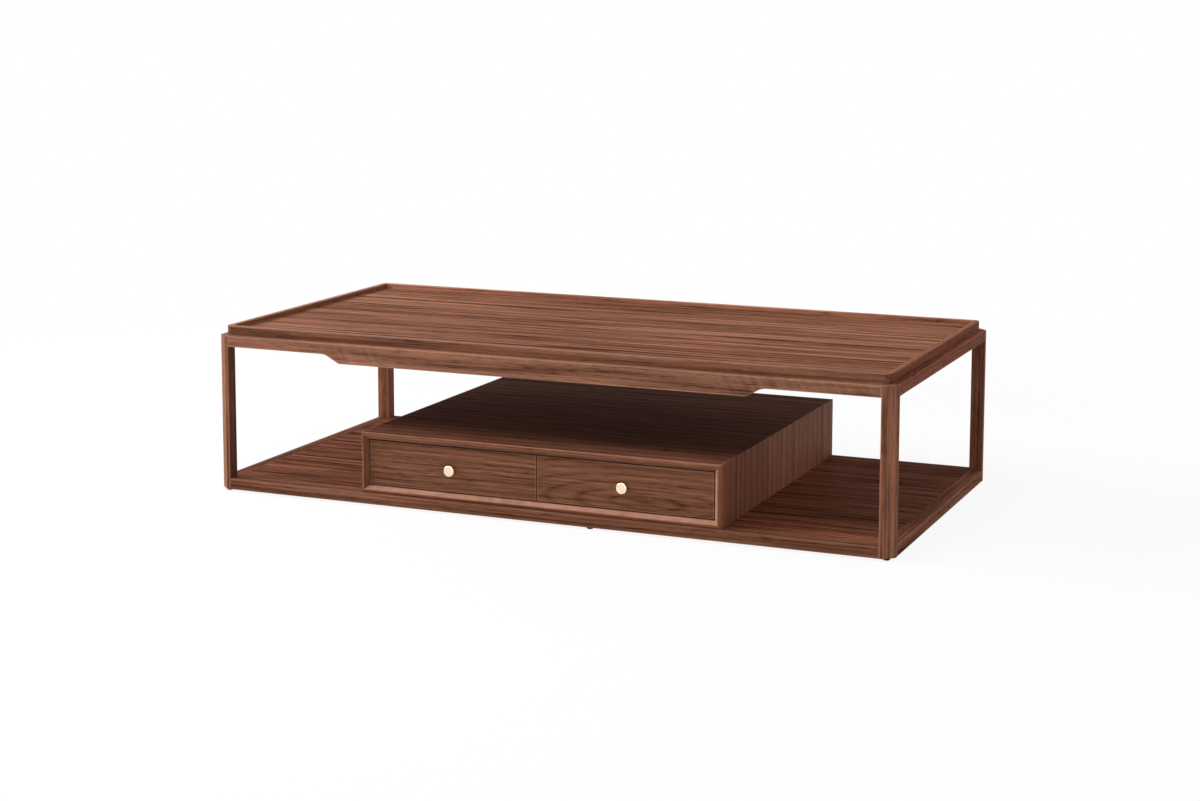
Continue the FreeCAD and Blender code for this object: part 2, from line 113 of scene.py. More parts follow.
class Noise(Enum):
    """The kinds of soft noise: spots to a metre along each axis, finer layers on top and the weight of those."""

    DRIFT = ((0.8, 4.0, 4.0), 1.0, 0.5)
    WARP = ((1.3, 6.5, 6.5), 1.0, 0.5)
    STREAK = ((3.2, 70.0, 70.0), 4.0, 0.66)
    CLUSTER = ((8.0, 80.0, 80.0), 2.0, 0.55)
    WINDING = ((1.6, 165.0, 165.0), 2.0, 0.5)
    FIBRE = ((34.0, 620.0, 620.0), 1.0, 0.5)
    PORE = ((30.0, 330.0, 330.0), 1.0, 0.5)
    PATCH = ((3.2, 1.4, 1.4), 0.0, 0.5)
    BAND = ((90.0, 10.0, 10.0), 0.0, 0.5)
    WEAR_AND_HIGHLIGHT = ((60.0, 60.0, 60.0), 3.0, 0.5)
    LATHE = ((5200.0, 5200.0, 1.0), 2.0, 0.5)
    TARNISH = ((160.0, 160.0, 160.0), 3.0, 0.5)
    SPECKLE = ((2400.0, 2400.0, 2400.0), 1.0, 0.5)
    SCUFF = ((900.0, 300.0, 300.0), 3.0, 0.5)
    HAZE = ((420.0, 420.0, 420.0), 3.0, 0.5)


def linear(red: float, green: float, blue: float) -> Colour:
    """Turns a colour in screen values of 0 to 255 into scene-linear RGBA.

    A screen share c becomes ((c + 0.055) / 1.055) to the power 2.4.

    Args:
        red: Red on the screen.
        green: Green on the screen.
        blue: Blue on the screen.

    Returns:
        The colour with an alpha of 1.
    """
    return tuple(((c / 255.0 + 0.055) / 1.055) ** 2.4 for c in (red, green, blue)) + (1.0,)


@dataclass(frozen=True)
class Corner:
    """One corner of a profile, in metres.

    Attributes:
        across: Place across the profile, growing outwards.
        height: Place up the profile.
        radius: Radius that the corner is eased to.
        share: 0 where the corner follows the path's outer line, 1 where it follows the inner line.
        lower: 1 where the corner goes down with the path's drop.
        after: Painted light on the flat that follows the corner, as a share of the paler arris colour.
        wear_and_highlight: Rubbing and painted highlight of the corner itself, where it is an arris.
    """

    across: float
    height: float
    radius: float
    share: float = 0.0
    lower: float = 0.0
    after: float = 0.0
    wear_and_highlight: float = 1.0


@dataclass(frozen=True)
class Profile:
    """An eased outline that is carried along a path.

    Attributes:
        place: Points of the outline, across and up.
        normal: Outward normals at the points.
        draw: Step that draws each point in by a unit at an eased end.
        share: How far each point follows the path's inner line.
        lower: How far each point follows the path's drop.
        worn_and_lit: Rubbing and painted light at each point.
        closed: Whether the last point joins the first.
    """

    place: np.ndarray
    normal: np.ndarray
    draw: np.ndarray
    share: np.ndarray
    lower: np.ndarray
    worn_and_lit: np.ndarray
    closed: bool = True

    @classmethod
    def rounded(cls, corners: Sequence[Corner], closed: bool = True) -> "Profile":
        """Eases the corners of a polygon that goes counter-clockwise.

        With n1 and n2 the outward normals of the two edges at a corner, its draw is m = (n1 + n2) / (1 + n1.n2).
        The arc is corner + r (n(t) - m), where n(t) turns from n1 to n2, and r changes sign at a hollow corner. A
        point on the flat at each side of the arc is where the rubbing and painted highlight of the arris have faded.

        Args:
            corners: The corners in order.
            closed: Whether the outline closes; an open one begins and ends at its end corners.

        Returns:
            The eased profile.
        """
        table = np.array([(c.across, c.height, c.radius, c.share, c.lower, c.after, c.wear_and_highlight) for c in corners])
        place, radius, after = table[:, :2], table[:, 2], table[:, 5]
        ahead = np.roll(place, -1, axis=0) - place
        length = np.linalg.norm(ahead, axis=1)
        ahead /= length[:, None]
        behind = np.roll(ahead, 1, axis=0)
        first = np.stack((behind[:, 1], -behind[:, 0]), axis=1)
        second = np.stack((ahead[:, 1], -ahead[:, 0]), axis=1)
        draw = (first + second) / (1.0 + np.sum(first * second, axis=1, keepdims=True))
        turn = np.arctan2(behind[:, 0] * ahead[:, 1] - behind[:, 1] * ahead[:, 0], np.sum(behind * ahead, axis=1))
        angle = np.arctan2(first[:, 1], first[:, 0])[:, None] + turn[:, None] * np.linspace(0.0, 1.0, ARC_STEPS)
        normal = np.stack((np.cos(angle), np.sin(angle)), axis=-1)
        reach = (np.sign(turn) * radius)[:, None, None]
        arc = place[:, None] + reach * (normal - draw[:, None])
        tangent = radius * np.tan(np.abs(turn) / 2.0)
        fade = np.clip(0.45 * (length - tangent - np.roll(tangent, -1)), 0.0, WEAR_AND_HIGHLIGHT_FADE)[:, None]
        spots = np.concatenate((arc[:, :1] - (np.roll(fade, 1, axis=0) * behind)[:, None], arc,
                                arc[:, -1:] + (fade * ahead)[:, None]), axis=1).reshape(-1, 2)
        normals = np.concatenate((normal[:, :1], normal, normal[:, -1:]), axis=1).reshape(-1, 2)
        arris = np.repeat(np.where(turn > 0.0, table[:, 6], 0.0)[:, None], ARC_STEPS, axis=1)
        worn_and_lit = np.column_stack((np.roll(after, 1), arris, after)).reshape(-1)
        draws, shares, lowers = (np.repeat(part, ARC_STEPS + 2, axis=0) for part in (draw, table[:, 3], table[:, 4]))
        kept = slice(None) if closed else slice(ARC_STEPS, -ARC_STEPS)
        return cls(spots[kept], normals[kept], draws[kept], shares[kept], lowers[kept], worn_and_lit[kept], closed)

    def mitred(self, width: float) -> "Profile":
        """The same profile, cut at 45 degrees at its ends over a board of that width."""
        return replace(self, share=-self.place[:, 0] / width)


@dataclass(frozen=True)
class Path:
    """The way that a profile is carried.

    Attributes:
        line: Points of the outer line.
        outward: Direction of the profile's across at each point.
        upward: Direction of the profile's height.
        forward: Direction of travel at each point.
        gap: Further step of the inner line at each point.
        inset: How far the profile is drawn in at each point.
        lean: How far the normal leans forward at each point, from -1 to 1.
        drop: How far the lower edge goes down at each point.
        slope: Rate of that drop.
        closed: Whether the last point joins the first.
    """

    line: np.ndarray
    outward: np.ndarray
    upward: np.ndarray
    forward: np.ndarray
    gap: np.ndarray
    inset: np.ndarray
    lean: np.ndarray
    drop: np.ndarray
    slope: np.ndarray
    closed: bool = False

    @classmethod
    def straight(cls, start: Sequence[float], end: Sequence[float], outward: np.ndarray, upward: np.ndarray,
                 ease: tuple[float, float] = (0.0, 0.0), mitre: float = 0.0,
                 bends: np.ndarray | None = None) -> "Path":
        """A straight run with eased or mitred ends.

        At an end eased by e the run is e (1 - cos t) short of the end and drawn in by e (1 - sin t), with t from
        0 to a right angle. A mitre moves the inner line in by its width at both ends.

        Args:
            start: First point of the outer line.
            end: Last point of the outer line.
            outward: Direction of the profile's across.
            upward: Direction of the profile's height.
            ease: Radii that the two ends are eased to.
            mitre: Width of the mitre, or 0 for square ends.
            bends: Rows of distance along the run, drop and slope, for a lower edge that isn't straight.

        Returns:
            The path.
        """
        span = np.asarray(end, float) - np.asarray(start, float)
        length = float(np.linalg.norm(span))
        angle = np.linspace(0.0, math.pi / 2.0, ARC_STEPS)
        round_off = [np.stack((e * (1.0 - np.cos(angle)), e * (1.0 - np.sin(angle)), np.cos(angle)), axis=1)
                     if e > 0.0 else np.zeros((1, 3)) for e in ease]
        middle = np.zeros((0, 3)) if bends is None else bends
        tail = round_off[1][::-1]
        along = np.concatenate((round_off[0][:, 0], middle[:, 0], length - tail[:, 0]))
        ends = [np.zeros(len(part)) for part in (round_off[0], middle, tail)]
        forward = span / length
        return cls(
            line=np.asarray(start, float) + along[:, None] * forward,
            outward=np.broadcast_to(outward, (len(along), 3)),
            upward=upward,
            forward=np.broadcast_to(forward, (len(along), 3)),
            gap=(mitre * (1.0 - 2.0 * along / length))[:, None] * forward,
            inset=np.concatenate((round_off[0][:, 1], ends[1], tail[:, 1])),
            lean=np.concatenate((-round_off[0][:, 2], ends[1], tail[:, 2])),
            drop=np.concatenate((ends[0], middle[:, 1], ends[2])),
            slope=np.concatenate((ends[0], middle[:, 2], ends[2])),
        )

    @classmethod
    def turned(cls, foot: Sequence[float], axis: np.ndarray) -> "Path":
        """A full turn round an axis: outward is side cos t + other sin t, with t once round.

        Args:
            foot: Point on the axis where the profile's height is 0.
            axis: Direction of the profile's height.

        Returns:
            The closed path.
        """
        side = UPWARD if abs(axis[2]) < 0.5 else RIGHTWARD
        other = np.cross(axis, side)
        angle = np.linspace(0.0, 2.0 * math.pi, TURN_STEPS, endpoint=False)[:, None]
        flat = np.zeros(TURN_STEPS)
        return cls(np.broadcast_to(np.asarray(foot, float), (TURN_STEPS, 3)),
                   np.cos(angle) * side + np.sin(angle) * other, axis,
                   np.cos(angle) * other - np.sin(angle) * side,
                   np.zeros((TURN_STEPS, 3)), flat, flat, flat, flat, closed=True)


@dataclass(frozen=True)
class Surface:
    """A closed surface: points, their normals, rubbing and painted light, quads and the flat faces that close its
    ends.
    """

    points: np.ndarray
    normals: np.ndarray
    worn_and_lit: np.ndarray
    quads: np.ndarray
    caps: tuple[np.ndarray, ...]

    @classmethod
    def carried(cls, profile: Profile, path: Path) -> "Surface":
        """Carries a profile along a path, as a grid of stations u and profile points v.

        The point is line(u) + share(v) gap(u) + a outward(u) + h upward, with a = across(v) - inset(u) draw(v) and
        h = height(v) - lower(v) drop(u) - inset(u) draw(v). The normal is the profile's own, leaned along the path
        at an eased end and tilted where the lower edge drops.

        Args:
            profile: The outline to carry.
            path: The way that it goes.

        Returns:
            The closed surface, with its faces outwards.
        """
        across = profile.place[None, :, 0] - path.inset[:, None] * profile.draw[None, :, 0]
        height = (profile.place[None, :, 1] - profile.lower * path.drop[:, None]
                  - path.inset[:, None] * profile.draw[None, :, 1])
        points = (path.line[:, None] + profile.share[None, :, None] * path.gap[:, None]
                  + across[..., None] * path.outward[:, None] + height[..., None] * path.upward)
        upright = np.sqrt(1.0 - path.lean ** 2)[:, None, None]
        tilt = profile.normal[None, :, 1] * profile.lower * path.slope[:, None]
        normals = upright * (profile.normal[None, :, :1] * path.outward[:, None]
                             + profile.normal[None, :, 1:] * path.upward
                             + tilt[..., None] * path.forward[:, None])
        normals = normals + path.lean[:, None, None] * path.forward[:, None]
        normals /= np.linalg.norm(normals, axis=2, keepdims=True)
        rows, columns = points.shape[:2]
        row, column = np.meshgrid(np.arange(rows if path.closed else rows - 1),
                                  np.arange(columns if profile.closed else columns - 1), indexing="ij")
        next_row, next_column = (row + 1) % rows, (column + 1) % columns
        quads = np.stack((row * columns + column, next_row * columns + column,
                          next_row * columns + next_column, row * columns + next_column), axis=-1).reshape(-1, 4)
        ends = (np.arange(columns), np.arange(columns)[::-1] + (rows - 1) * columns)
        sides = (np.arange(rows)[::-1] * columns, np.arange(rows) * columns + columns - 1)
        surface = cls(points.reshape(-1, 3), normals.reshape(-1, 3), np.tile(profile.worn_and_lit, rows), quads,
                      (() if path.closed else ends) + (() if profile.closed else sides))
        return surface if surface.volume() > 0.0 else surface.flipped()

    @classmethod
    def joined(cls, parts: Sequence["Surface"]) -> "Surface":
        """Puts several closed surfaces together as one.

        Args:
            parts: The surfaces.

        Returns:
            All of them as one surface.
        """
        starts = np.cumsum([0] + [len(part.points) for part in parts[:-1]])
        return cls(np.concatenate([part.points for part in parts]), np.concatenate([part.normals for part in parts]),
                   np.concatenate([part.worn_and_lit for part in parts]),
                   np.concatenate([part.quads + start for part, start in zip(parts, starts)]),
                   tuple(cap + start for part, start in zip(parts, starts) for cap in part.caps))

    def volume(self) -> float:
        """Adds up the triple products of triangles fanned from each face.

        Returns:
            Six times the volume inside, less than 0 where the faces look inwards.
        """
        fans = [self.quads[:, (0, 1, 2)], self.quads[:, (0, 2, 3)]]
        fans += [np.stack((np.full(len(cap) - 2, cap[0]), cap[1:-1], cap[2:]), axis=1) for cap in self.caps]
        first, second, third = (self.points[np.concatenate(fans)[:, k]] for k in range(3))
        return float(np.sum(first * np.cross(second, third)))

    def flipped(self) -> "Surface":
        """The same surface with its faces turned round."""
        return replace(self, quads=self.quads[:, ::-1], caps=tuple(cap[::-1] for cap in self.caps))

    def box(self) -> tuple[Vector, Vector]:
        """Lowest and highest corner of the surface."""
        return Vector(self.points.min(axis=0)), Vector(self.points.max(axis=0))

    def mesh(self, name: str) -> bpy.types.Mesh:
        """Puts the surface into a mesh, with its own normals on the eased faces, its rubbing and painted light, and
        flat ends.

        The normal of an end face is the sum of the cross products of its neighbouring points.

        Args:
            name: Name of the mesh.

        Returns:
            The mesh.
        """
        mesh = bpy.data.meshes.new(name)
        faces = self.quads.tolist() + [cap.tolist() for cap in self.caps]
        mesh.from_pydata(self.points.tolist(), [], faces)
        mesh.polygons.foreach_set("use_smooth", np.ones(len(faces), dtype=bool))
        worn_and_lit = np.zeros(len(mesh.loops), dtype=np.float32)
        worn_and_lit[:self.quads.size] = self.worn_and_lit[self.quads].reshape(-1)
        mesh.attributes.new(WORN_AND_LIT, "FLOAT", "CORNER").data.foreach_set("value", worn_and_lit)
        corner_normals = [self.normals[self.quads].reshape(-1, 3)]
        for cap in self.caps:
            rim = self.points[cap] - self.points[cap].mean(axis=0)
            facing = np.cross(rim, np.roll(rim, -1, axis=0)).sum(axis=0)
            corner_normals.append(np.tile(facing / np.linalg.norm(facing), (len(cap), 1)))
        mesh.normals_split_custom_set(np.concatenate(corner_normals).tolist())
        mesh.update()
        return mesh


@dataclass(frozen=True)
class Wiring:
    """Places the nodes of one tree and joins them."""

    tree: bpy.types.NodeTree

    def node(self, kind: str, **settings: object) -> bpy.types.Node:
        """Places a node.

        Args:
            kind: Kind of node.
            settings: Its settings by name.

        Returns:
            The node.
        """
        node = self.tree.nodes.new(kind)
        for name, value in settings.items():
            setattr(node, name, value)
        return node

    def feed(self, socket: Socket, value: Socket | float | Sequence[float]) -> None:
        """Joins a socket to an output, or sets its plain value.

        Args:
            socket: Socket to feed.
            value: The output or the plain value.
        """
        if isinstance(value, Socket):
            self.tree.links.new(value, socket)
        else:
            socket.default_value = value

    def math(self, operation: str, *values: Socket | float, clamp: bool = False) -> Socket:
        """One step of arithmetic on values.

        Args:
            operation: Name of the step.
            values: Outputs or plain numbers that it takes.
            clamp: Whether the result stays between 0 and 1.

        Returns:
            The result.
        """
        node = self.node("ShaderNodeMath", operation=operation, use_clamp=clamp)
        for socket, value in zip(node.inputs, values):
            self.feed(socket, value)
        return node.outputs[0]

    def vector(self, operation: str, first: Socket | Triple, second: Socket | Triple) -> Socket:
        """One step of arithmetic on two vectors.

        Args:
            operation: Name of the step.
            first: First output or plain vector.
            second: Second output or plain vector.

        Returns:
            The result.
        """
        node = self.node("ShaderNodeVectorMath", operation=operation)
        self.feed(node.inputs[0], first)
        self.feed(node.inputs[1], second)
        return node.outputs[0]

    def parts(self, vector: Socket) -> tuple[Socket, Socket, Socket]:
        """Takes a vector apart.

        Args:
            vector: The vector.

        Returns:
            Its three parts.
        """
        node = self.node("ShaderNodeSeparateXYZ")
        self.feed(node.inputs[0], vector)
        return node.outputs[0], node.outputs[1], node.outputs[2]

    def compose(self, *values: Socket | float) -> Socket:
        """Puts a vector together.

        Args:
            values: Its three parts.

        Returns:
            The vector.
        """
        node = self.node("ShaderNodeCombineXYZ")
        for socket, value in zip(node.inputs, values):
            self.feed(socket, value)
        return node.outputs[0]

    def noise(self, vector: Socket, kind: Noise) -> Socket:
        """Soft noise from 0 to 1 about a half.

        Args:
            vector: Place to read it at, in metres.
            kind: Kind of noise.

        Returns:
            The noise.
        """
        counts, detail, roughness = kind.value
        node = self.node("ShaderNodeTexNoise")
        self.feed(node.inputs["Vector"], self.vector("MULTIPLY", vector, counts))
        for label, value in (("Scale", 1.0), ("Detail", detail), ("Roughness", roughness)):
            self.feed(node.inputs[label], value)
        return node.outputs[0]

    def ramp(self, value: Socket, low: Socket | float, high: Socket | float) -> Socket:
        """A soft step from 0 to 1.

        Args:
            value: Value that it goes by.
            low: Where it is 0.
            high: Where it is 1.

        Returns:
            The step.
        """
        node = self.node("ShaderNodeMapRange", interpolation_type="SMOOTHSTEP")
        for label, given in (("Value", value), ("From Min", low), ("From Max", high)):
            self.feed(node.inputs[label], given)
        return node.outputs[0]

    def swing(self, noise: Socket, amount: Socket | float) -> Socket:
        """Noise made to swing about 0 by that amount."""
        return self.math("MULTIPLY", self.math("SUBTRACT", noise, 0.5), amount)

    def total(self, *values: Socket | float) -> Socket:
        """Adds up several values.

        Args:
            values: Outputs or plain numbers.

        Returns:
            The sum.
        """
        result = values[0]
        for value in values[1:]:
            result = self.math("ADD", result, value)
        return result

    def reach(self, first: Socket, second: Socket) -> Socket:
        """The distance that two parts at a right angle make: the root of the sum of their squares."""
        squares = [self.math("MULTIPLY", part, part) for part in (first, second)]
        return self.math("SQRT", self.math("ADD", *squares))

    def finish(self, share: Socket, first: bpy.types.Node, second: bpy.types.Node, output: str) -> None:
        """Ends the tree with a mix of two shaders.

        Args:
            share: Share of the second shader.
            first: Node of the first shader.
            second: Node of the second shader.
            output: Kind of the output node.
        """
        mix = self.node("ShaderNodeMixShader")
        for socket, value in zip(mix.inputs, (share, first.outputs[0], second.outputs[0])):
            self.feed(socket, value)
        self.feed(self.node(output).inputs["Surface"], mix.outputs[0])

    def blend(self, share: Socket | float, first: Socket | Colour, second: Socket | Colour) -> Socket:
        """A colour between two others.

        Args:
            share: Share of the second colour.
            first: First colour.
            second: Second colour.

        Returns:
            The colour.
        """
        node = self.node("ShaderNodeMix", data_type="RGBA")
        for socket, value in zip((node.inputs[0], node.inputs[6], node.inputs[7]), (share, first, second)):
            self.feed(socket, value)
        return node.outputs[2]


@dataclass(frozen=True)
class EffectGroup:
    """A shader node group that is built once and placed in several materials.

    Attributes:
        name: Name of the group.
        inputs: Its inputs by label.
        outputs: Its outputs by label.
        wire: Function that wires its inputs to its outputs.
    """

    name: str
    inputs: Mapping[str, SocketKind]
    outputs: Mapping[str, SocketKind]
    wire: Callable[[Wiring, Mapping[str, Socket]], Mapping[str, Socket]]

    def built(self) -> bpy.types.NodeTree:
        """Builds the group, or finds it where it is built already.

        Returns:
            The group's tree.
        """
        found = bpy.data.node_groups.get(self.name)
        if found is not None:
            return found
        tree = bpy.data.node_groups.new(self.name, "ShaderNodeTree")
        for side, sockets in (("INPUT", self.inputs), ("OUTPUT", self.outputs)):
            for label, kind in sockets.items():
                tree.interface.new_socket(name=label, in_out=side, socket_type=kind.value)
        wiring = Wiring(tree)
        given = wiring.node("NodeGroupInput").outputs
        put = wiring.node("NodeGroupOutput").inputs
        for label, socket in self.wire(wiring, given).items():
            wiring.feed(put[label], socket)
        return tree

    def place(self, wiring: Wiring, **values: Socket | float | Sequence[float]) -> Mapping[str, Socket]:
        """Places the group in a material.

        Args:
            wiring: The material's wiring.
            values: Values of its inputs by label.

        Returns:
            Its outputs by label.
        """
        node = wiring.node("ShaderNodeGroup", node_tree=self.built())
        for label, value in values.items():
            wiring.feed(node.inputs[label], value)
        return node.outputs


# Wood's level of colour, from 0 at the darkest to 1 at the lightest: its middle, and how far each layer moves it.
MIDDLE_LEVEL = 0.6
DRIFT_DEPTH = 0.45
FIBRE_DEPTH = 0.35
LEAF_DEPTH = 0.12
PORE_DEPTH = 0.2
# How steeply a thin line falls off, how dark a fleck is on and between lines, and how sharp a growth ring is.
LINE_FALL = 11.0
FLECK_ON_LINES = 0.95
FLECK_BETWEEN = 0.1
RING_POWER = 3.0
# Levels of noise between which clusters, pores and patches of ripple grow from nothing to full.
CLUSTER_RANGE = (0.44, 0.66)
PORE_RANGE = (0.58, 0.72)
PATCH_RANGE = (0.46, 0.66)
# How far apart leaves of veneer are cut, along the grain and deep, and how far ripple slants with depth.
LEAF_ALONG = 7.3
LEAF_DEEP = 1.7
RIPPLE_SLANT = 0.6
# Roughness of lacquered wood, what a pore adds and what light wood takes off, and how a pore and a ring sink in.
WOOD_ROUGHNESS = 0.62
PORE_ROUGHNESS = 0.14
LIGHT_SMOOTHNESS = 0.1
PORE_SINK = 0.7
RING_SINK = 0.12


def wire_wood(wiring: Wiring, given: Mapping[str, Socket]) -> Mapping[str, Socket]:
    """Wires the figure of sawn or sliced wood, with the grain along X.

    The level of the colour is a middle one, plus a slow drift, streaks and fibres that are noise drawn out along the
    grain, less thin lines where such a noise passes its middle, darker in flecks where they cluster, less growth
    rings, which are the folded sum of the distance from the log's heart and a slow warp, and less pores, which are
    short dark dashes. The heart leans across the board as it goes along. Breadth enlarges streaks, lines and flecks.
    Ripple adds slanting bands across the grain in patches. Veneer is cut into leaves across the grain, each with its
    own shift and tone.

    Args:
        wiring: The group's wiring.
        given: Its inputs by label.

    Returns:
        Its outputs by label.
    """
    _, across, _ = wiring.parts(given["Vector"])
    leaf = wiring.math("FLOOR", wiring.math("DIVIDE", across, given["Leaf"]))
    lot_node = wiring.node("ShaderNodeTexWhiteNoise", noise_dimensions="1D")
    wiring.feed(lot_node.inputs["W"], leaf)
    lot = lot_node.outputs["Value"]
    shift = wiring.compose(wiring.math("MULTIPLY", lot, LEAF_ALONG), 0.0, wiring.math("MULTIPLY", lot, LEAF_DEEP))
    place = wiring.vector("ADD", given["Vector"], shift)
    _, _, depth = wiring.parts(place)
    slant = wiring.compose(wiring.math("MULTIPLY", depth, RIPPLE_SLANT), 0.0, 0.0)
    offset = wiring.vector("SUBTRACT", place, given["Heart"])
    run, _, _ = wiring.parts(offset)
    leaned = wiring.vector("ADD", offset, wiring.vector("MULTIPLY", wiring.compose(run, run, run), given["Lean"]))
    _, side, deep = wiring.parts(leaned)
    radius = wiring.reach(side, deep)

    narrow = wiring.math("DIVIDE", 1.0, given["Breadth"])
    broad = wiring.vector("MULTIPLY", place, wiring.compose(narrow, narrow, narrow))
    drift = wiring.noise(place, Noise.DRIFT)
    warp = wiring.noise(place, Noise.WARP)
    streaks = wiring.noise(broad, Noise.STREAK)
    cluster = wiring.ramp(wiring.noise(broad, Noise.CLUSTER), *CLUSTER_RANGE)
    apart = wiring.math("ABSOLUTE", wiring.math("SUBTRACT", wiring.noise(broad, Noise.WINDING), 0.5))
    lines = wiring.math("SUBTRACT", 1.0, wiring.math("MULTIPLY", apart, LINE_FALL, clamp=True))
    fibre = wiring.noise(place, Noise.FIBRE)
    pore = wiring.ramp(wiring.noise(place, Noise.PORE), *PORE_RANGE)
    patch = wiring.ramp(wiring.noise(place, Noise.PATCH), *PATCH_RANGE)
    band = wiring.swing(wiring.noise(wiring.vector("ADD", place, slant), Noise.BAND),
                        wiring.math("MULTIPLY", given["Ripple"], patch))

    count = wiring.math("MULTIPLY_ADD", radius, given["Rings"], wiring.swing(warp, given["Figure"]))
    fold = wiring.math("MULTIPLY", wiring.math("PINGPONG", count, 0.5), 2.0)
    ring = wiring.math("POWER", fold, RING_POWER)

    fleck = wiring.math("MULTIPLY", wiring.math("MULTIPLY_ADD", lines, FLECK_ON_LINES, FLECK_BETWEEN), cluster)
    darker = wiring.total(
        wiring.math("MULTIPLY", lines, given["Lines"]),
        wiring.math("MULTIPLY", fleck, given["Fleck"]),
        wiring.math("MULTIPLY", ring, given["Ring Depth"]),
        wiring.math("MULTIPLY", pore, PORE_DEPTH),
    )
    varied = wiring.total(
        MIDDLE_LEVEL,
        wiring.swing(drift, DRIFT_DEPTH),
        wiring.swing(streaks, given["Streak"]),
        wiring.swing(fibre, FIBRE_DEPTH),
        wiring.swing(lot, LEAF_DEPTH),
        band,
    )
    level = wiring.math("SUBTRACT", varied, darker)
    doubled = wiring.math("MULTIPLY", level, 2.0, clamp=True)
    beyond = wiring.math("MULTIPLY_ADD", level, 2.0, -1.0, clamp=True)
    shade = wiring.blend(doubled, given["Dark"], given["Middle"])
    return {
        "Color": wiring.blend(beyond, shade, given["Light"]),
        "Roughness": wiring.total(WOOD_ROUGHNESS, wiring.math("MULTIPLY", pore, PORE_ROUGHNESS),
                                  wiring.math("MULTIPLY", level, -LIGHT_SMOOTHNESS)),
        "Height": wiring.total(wiring.swing(fibre, FIBRE_DEPTH), wiring.math("MULTIPLY", pore, -PORE_SINK),
                               wiring.math("MULTIPLY", ring, -RING_SINK)),
    }


# Least rubbing and painted highlight of an arris, and how much more the noise adds.
WEAR_AND_HIGHLIGHT_LEAST = 0.3
WEAR_AND_HIGHLIGHT_SPREAD = 0.9


def wire_arris(wiring: Wiring, given: Mapping[str, Socket]) -> Mapping[str, Socket]:
    """Wires the rubbing and painted highlight along the arrises of a board.

    The distances to the six faces of the board's box give three nearest ones. The middle one of the three is the
    distance to the nearest edge, and the rubbing and painted highlight fade over the width. The greater of that and
    the rubbing and painted light that the surface carries is broken up by noise.

    Args:
        wiring: The group's wiring.
        given: Its inputs by label.

    Returns:
        Its outputs by label.
    """
    place = given["Vector"]
    near = wiring.vector("MINIMUM", wiring.vector("SUBTRACT", place, given["Low"]),
                         wiring.vector("SUBTRACT", given["High"], place))
    first, second, third = wiring.parts(near)
    lesser = wiring.math("MINIMUM", first, second)
    greater = wiring.math("MAXIMUM", first, second)
    edge = wiring.math("MAXIMUM", lesser, wiring.math("MINIMUM", greater, third))
    broken = wiring.math("MULTIPLY_ADD", wiring.noise(place, Noise.WEAR_AND_HIGHLIGHT), WEAR_AND_HIGHLIGHT_SPREAD, WEAR_AND_HIGHLIGHT_LEAST)
    fade = wiring.math("SUBTRACT", 1.0, wiring.ramp(edge, 0.0, given["Width"]))
    return {"Mask": wiring.math("MULTIPLY", wiring.math("MAXIMUM", fade, given["Edge"]), broken, clamp=True)}


def wire_turning(wiring: Wiring, given: Mapping[str, Socket]) -> Mapping[str, Socket]:
    """Wires the fine rings that a lathe leaves: noise over the distance from the axis Z and along it.

    Args:
        wiring: The group's wiring.
        given: Its inputs by label.

    Returns:
        Its outputs by label.
    """
    right, back, along = wiring.parts(given["Vector"])
    rings = wiring.noise(wiring.compose(wiring.reach(right, back), along, 0.0), Noise.LATHE)
    return {"Marks": rings, "Haze": wiring.noise(given["Vector"], Noise.TARNISH)}


WOOD_GRAIN = EffectGroup(
    "wood_grain",
    {"Vector": SocketKind.VECTOR, "Rings": SocketKind.VALUE, "Ring Depth": SocketKind.VALUE,
     "Figure": SocketKind.VALUE, "Streak": SocketKind.VALUE, "Lines": SocketKind.VALUE, "Fleck": SocketKind.VALUE,
     "Breadth": SocketKind.VALUE, "Ripple": SocketKind.VALUE, "Leaf": SocketKind.VALUE, "Heart": SocketKind.VECTOR,
     "Lean": SocketKind.VECTOR, "Dark": SocketKind.COLOUR, "Middle": SocketKind.COLOUR, "Light": SocketKind.COLOUR},
    {"Color": SocketKind.COLOUR, "Roughness": SocketKind.VALUE, "Height": SocketKind.VALUE},
    wire_wood,
)
ARRIS_WEAR_AND_HIGHLIGHT = EffectGroup(
    "arris_wear_and_highlight",
    {"Vector": SocketKind.VECTOR, "Low": SocketKind.VECTOR, "High": SocketKind.VECTOR, "Width": SocketKind.VALUE,
     "Edge": SocketKind.VALUE},
    {"Mask": SocketKind.VALUE},
    wire_arris,
)
LATHE_MARKS = EffectGroup(
    "lathe_marks",
    {"Vector": SocketKind.VECTOR},
    {"Marks": SocketKind.VALUE, "Haze": SocketKind.VALUE},
    wire_turning,
)


